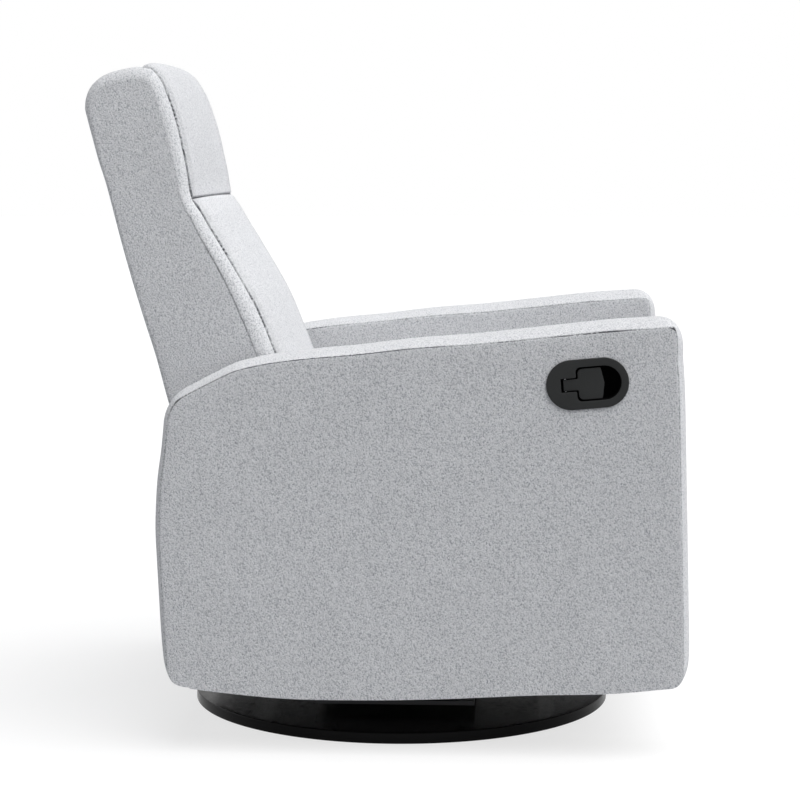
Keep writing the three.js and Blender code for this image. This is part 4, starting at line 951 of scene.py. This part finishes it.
def openingLoop(sizes, margin=0.0):
    # a T laid on its side: a slot for the stem, then the wide part with a round front end
    rear, back = sizes["openingRear"] - margin, sizes["slotRear"] - margin
    corner, bevel = sizes["corner"], sizes["bevel"]
    front, half, slot = (sizes[key] + margin for key in ("openingFront", "openingHalf", "slotHalf"))
    nose = arc(-math.pi / 2, math.pi / 2, 40, half)[:20] + (front - half, 0)
    return mirrored([[(back, -slot), (rear - bevel, -slot), (rear, -slot - bevel)],
                     bend((rear, corner - half), (rear, -half), (rear + corner, -half), 8), nose])


def placedRelease(name, grid):
    # local (forward, up, height out of the arm) points turned to the release's tilt on the arm's face
    plane = tilted(grid[..., :2], releaseSizes)
    return skin(name, across(plane, -armSizes["outer"] - grid[..., 2]))


def releaseCup(sizes):
    # rows run from the tub's back, up its outside, along the back of the plate, round the plate's
    # rim, over its face, into the opening and down to the tub's floor
    centre = np.array(sizes["centre"])
    inner = evenLoop(openingLoop(sizes), sizes["columns"])
    outerTub = matched(inner, evenLoop(openingLoop(sizes, sizes["wall"]), 2 * sizes["columns"]), centre)
    rim = matched(inner, obround(sizes["length"], sizes["height"], 360), centre)
    rimIn, mouthOut = inward(rim), -inward(inner)
    behind, back, proud = -sizes["depth"], sizes["back"], sizes["proud"]
    floor = behind + sizes["wall"]
    rows = [raised(outerTub * 0.5 + centre * 0.5, behind), raised(outerTub, behind), raised(outerTub, back),
            raised(rim, back)]
    rows += [raised(rim + rimIn * inset, height) for inset, height in roundedEdge(sizes["edge"], proud, 1)]
    rows += [raised(rim + (inner - rim) * share, proud) for share in (0.3, 0.6)]
    rows += [raised(inner + mouthOut * inset, height)
             for inset, height in roundedEdge(sizes["lip"], proud, 1)[::-1]]
    rows += [raised(inner, height) for height in (0.5 * proud, -4, floor + 2)]
    rows += [raised(centre + (inner - centre) * share, floor) for share in (0.96, 0.5)]
    return placedRelease("releaseCup", np.stack(rows))


def paddleOutline(sizes):
    # stem, shoulders with rounded rear corners, and a front edge that comes to a blunt point
    rear, shoulder, front, half = (sizes[key] for key in ("rear", "shoulder", "front", "half"))
    stem, corner, bevel = (sizes[key] for key in ("stemHalf", "corner", "bevel"))
    nose = front - sizes["chevron"]
    return mirrored([[(rear, -stem), (shoulder - bevel, -stem), (shoulder, -stem - bevel)],
                     bend((shoulder, corner - half), (shoulder, -half), (shoulder + corner, -half), 8),
                     bend((nose - 2, -half), (nose, -half), (nose + 0.4, 2 - half), 5), [(front, 0)]])


def releasePaddle(sizes):
    # the outline carried through the blade's thickness with both edges rounded
    loop = evenLoop(paddleOutline(sizes), sizes["columns"])
    face = cupSizes["proud"] - sizes["sunk"]
    foot = face - sizes["thickness"]
    profile = roundedEdge(sizes["edge"], foot, -1)[::-1] + roundedEdge(sizes["edge"], face, 1)
    return placedRelease("releasePaddle", carried(loop, profile, (0.5, 0.1), sizes["centre"]))


barrelSizes = {"place": -32, "deep": 5, "radius": 3.1, "low": 2.75, "high": 8.25, "edge": 0.4,
               "columns": 32}


def paddleBarrel(sizes):
    # the knuckle behind the stem that turns on the pin: a circle carried upwards
    loop = arc(0, 2 * math.pi, sizes["columns"] + 1, sizes["radius"])[:-1] + (sizes["place"], -sizes["deep"])
    low, high, edge = sizes["low"], sizes["high"], sizes["edge"]
    grid = carried(loop, [(edge, low), (0, low + edge), (0, high - edge), (edge, high)])
    return placedRelease("paddleBarrel", grid[..., [0, 2, 1]])


cup = dressed(releaseCup(cupSizes), "chassis", moulded, "moulded_plastic", "release_cup")
cup.data.materials.append(mouldedPaintedShade)


def darkenInside(piece, depth):
    # faces that lie deeper in the arm than depth take the second material, near black as painted shade
    inside = placesOf(piece.data.polygons, "center")[:, 0] * 1000 > depth - armSizes["outer"]
    piece.data.polygons.foreach_set("material_index", inside.astype(np.int32))


darkenInside(cup, cupSizes["dullFrom"])
dressed(releasePaddle(paddleSizes), "paddle", moulded, "moulded_plastic", "release_paddle")
dressed(paddleBarrel(barrelSizes), "paddle", moulded, "moulded_plastic")
print("release, disc and rear panel made")

# ---- plain studio: pale floor, white surround, a broad key light and a weak one from behind
studioSizes = {
    "fill": 0.15, "fillColour": (0.95, 0.99, 1.06, 1),
    "key": 3.57, "keySpread": 75, "keyFrom": (-0.17, -0.50, 0.85),
    "rim": 0.55, "rimSpread": 60, "rimFrom": (0.05, 0.92, 0.36),
    "floor": "#acadaf", "floorSize": 60,
    "floorSeen": "#9c9c9c", "floorGlow": 0.70,  # what the camera sees of it: white, with the shadow left in
}


def seenRays(tree):
    # 1 for camera, glossy and transmission rays, 0 for those that light the object
    rays = addNode(tree, "ShaderNodeLightPath").outputs
    clear = maths(tree, "MAXIMUM", rays["Is Glossy Ray"], rays["Is Transmission Ray"])
    return maths(tree, "MAXIMUM", rays["Is Camera Ray"], clear)


def makeWorld(sizes):
    # what the seen rays meet is white; the light on the object is the fill
    world = bpy.data.worlds.new("studio")
    scene.world = world
    world.use_nodes = True
    tree = world.node_tree
    seen, inputs = seenRays(tree), tree.nodes["Background"].inputs
    tree.links.new(remap(tree, seen, 0, 1, sizes["fill"], 1), inputs["Strength"])
    tree.links.new(mixColour(tree, seen, sizes["fillColour"], (1, 1, 1, 1)), inputs["Color"])


def makeSun(name, sizes):
    # light from the From direction, out of a disc Spread degrees wide
    light = bpy.data.lights.new(name, "SUN")
    light.energy = sizes[name]
    light.angle = math.radians(sizes[name + "Spread"])
    sun = bpy.data.objects.new(name, light)
    sun.rotation_euler = Vector(sizes[name + "From"]).to_track_quat("Z", "Y").to_euler()
    scene.collection.objects.link(sun)


def makeFloor(sizes):
    # one wide sheet of pale painted board; seen rays also meet a glow, so that it runs into the white
    half = sizes["floorSize"] / 2
    mesh = bpy.data.meshes.new("floor")
    corners = [(-half, -half, 0), (half, -half, 0), (half, half, 0), (-half, half, 0)]
    mesh.from_pydata(corners, [], [(0, 1, 2, 3)])
    material, tree, shader = newMaterial("paintedFloor", 0.9, specular=0.0)[:3]
    seen = seenRays(tree)
    colour = mixColour(tree, seen, linear(sizes["floor"]), linear(sizes["floorSeen"]))
    tree.links.new(colour, shader.inputs["Base Color"])
    shader.inputs["Emission Color"].default_value = (1, 1, 1, 1)
    tree.links.new(maths(tree, "MULTIPLY", seen, sizes["floorGlow"]), shader.inputs["Emission Strength"])
    mesh.materials.append(material)
    floor = bpy.data.objects.new("floor", mesh)
    scene.collection.objects.link(floor)


makeWorld(studioSizes)
makeSun("key", studioSizes)
makeSun("rim", studioSizes)
makeFloor(studioSizes)
print("studio made")
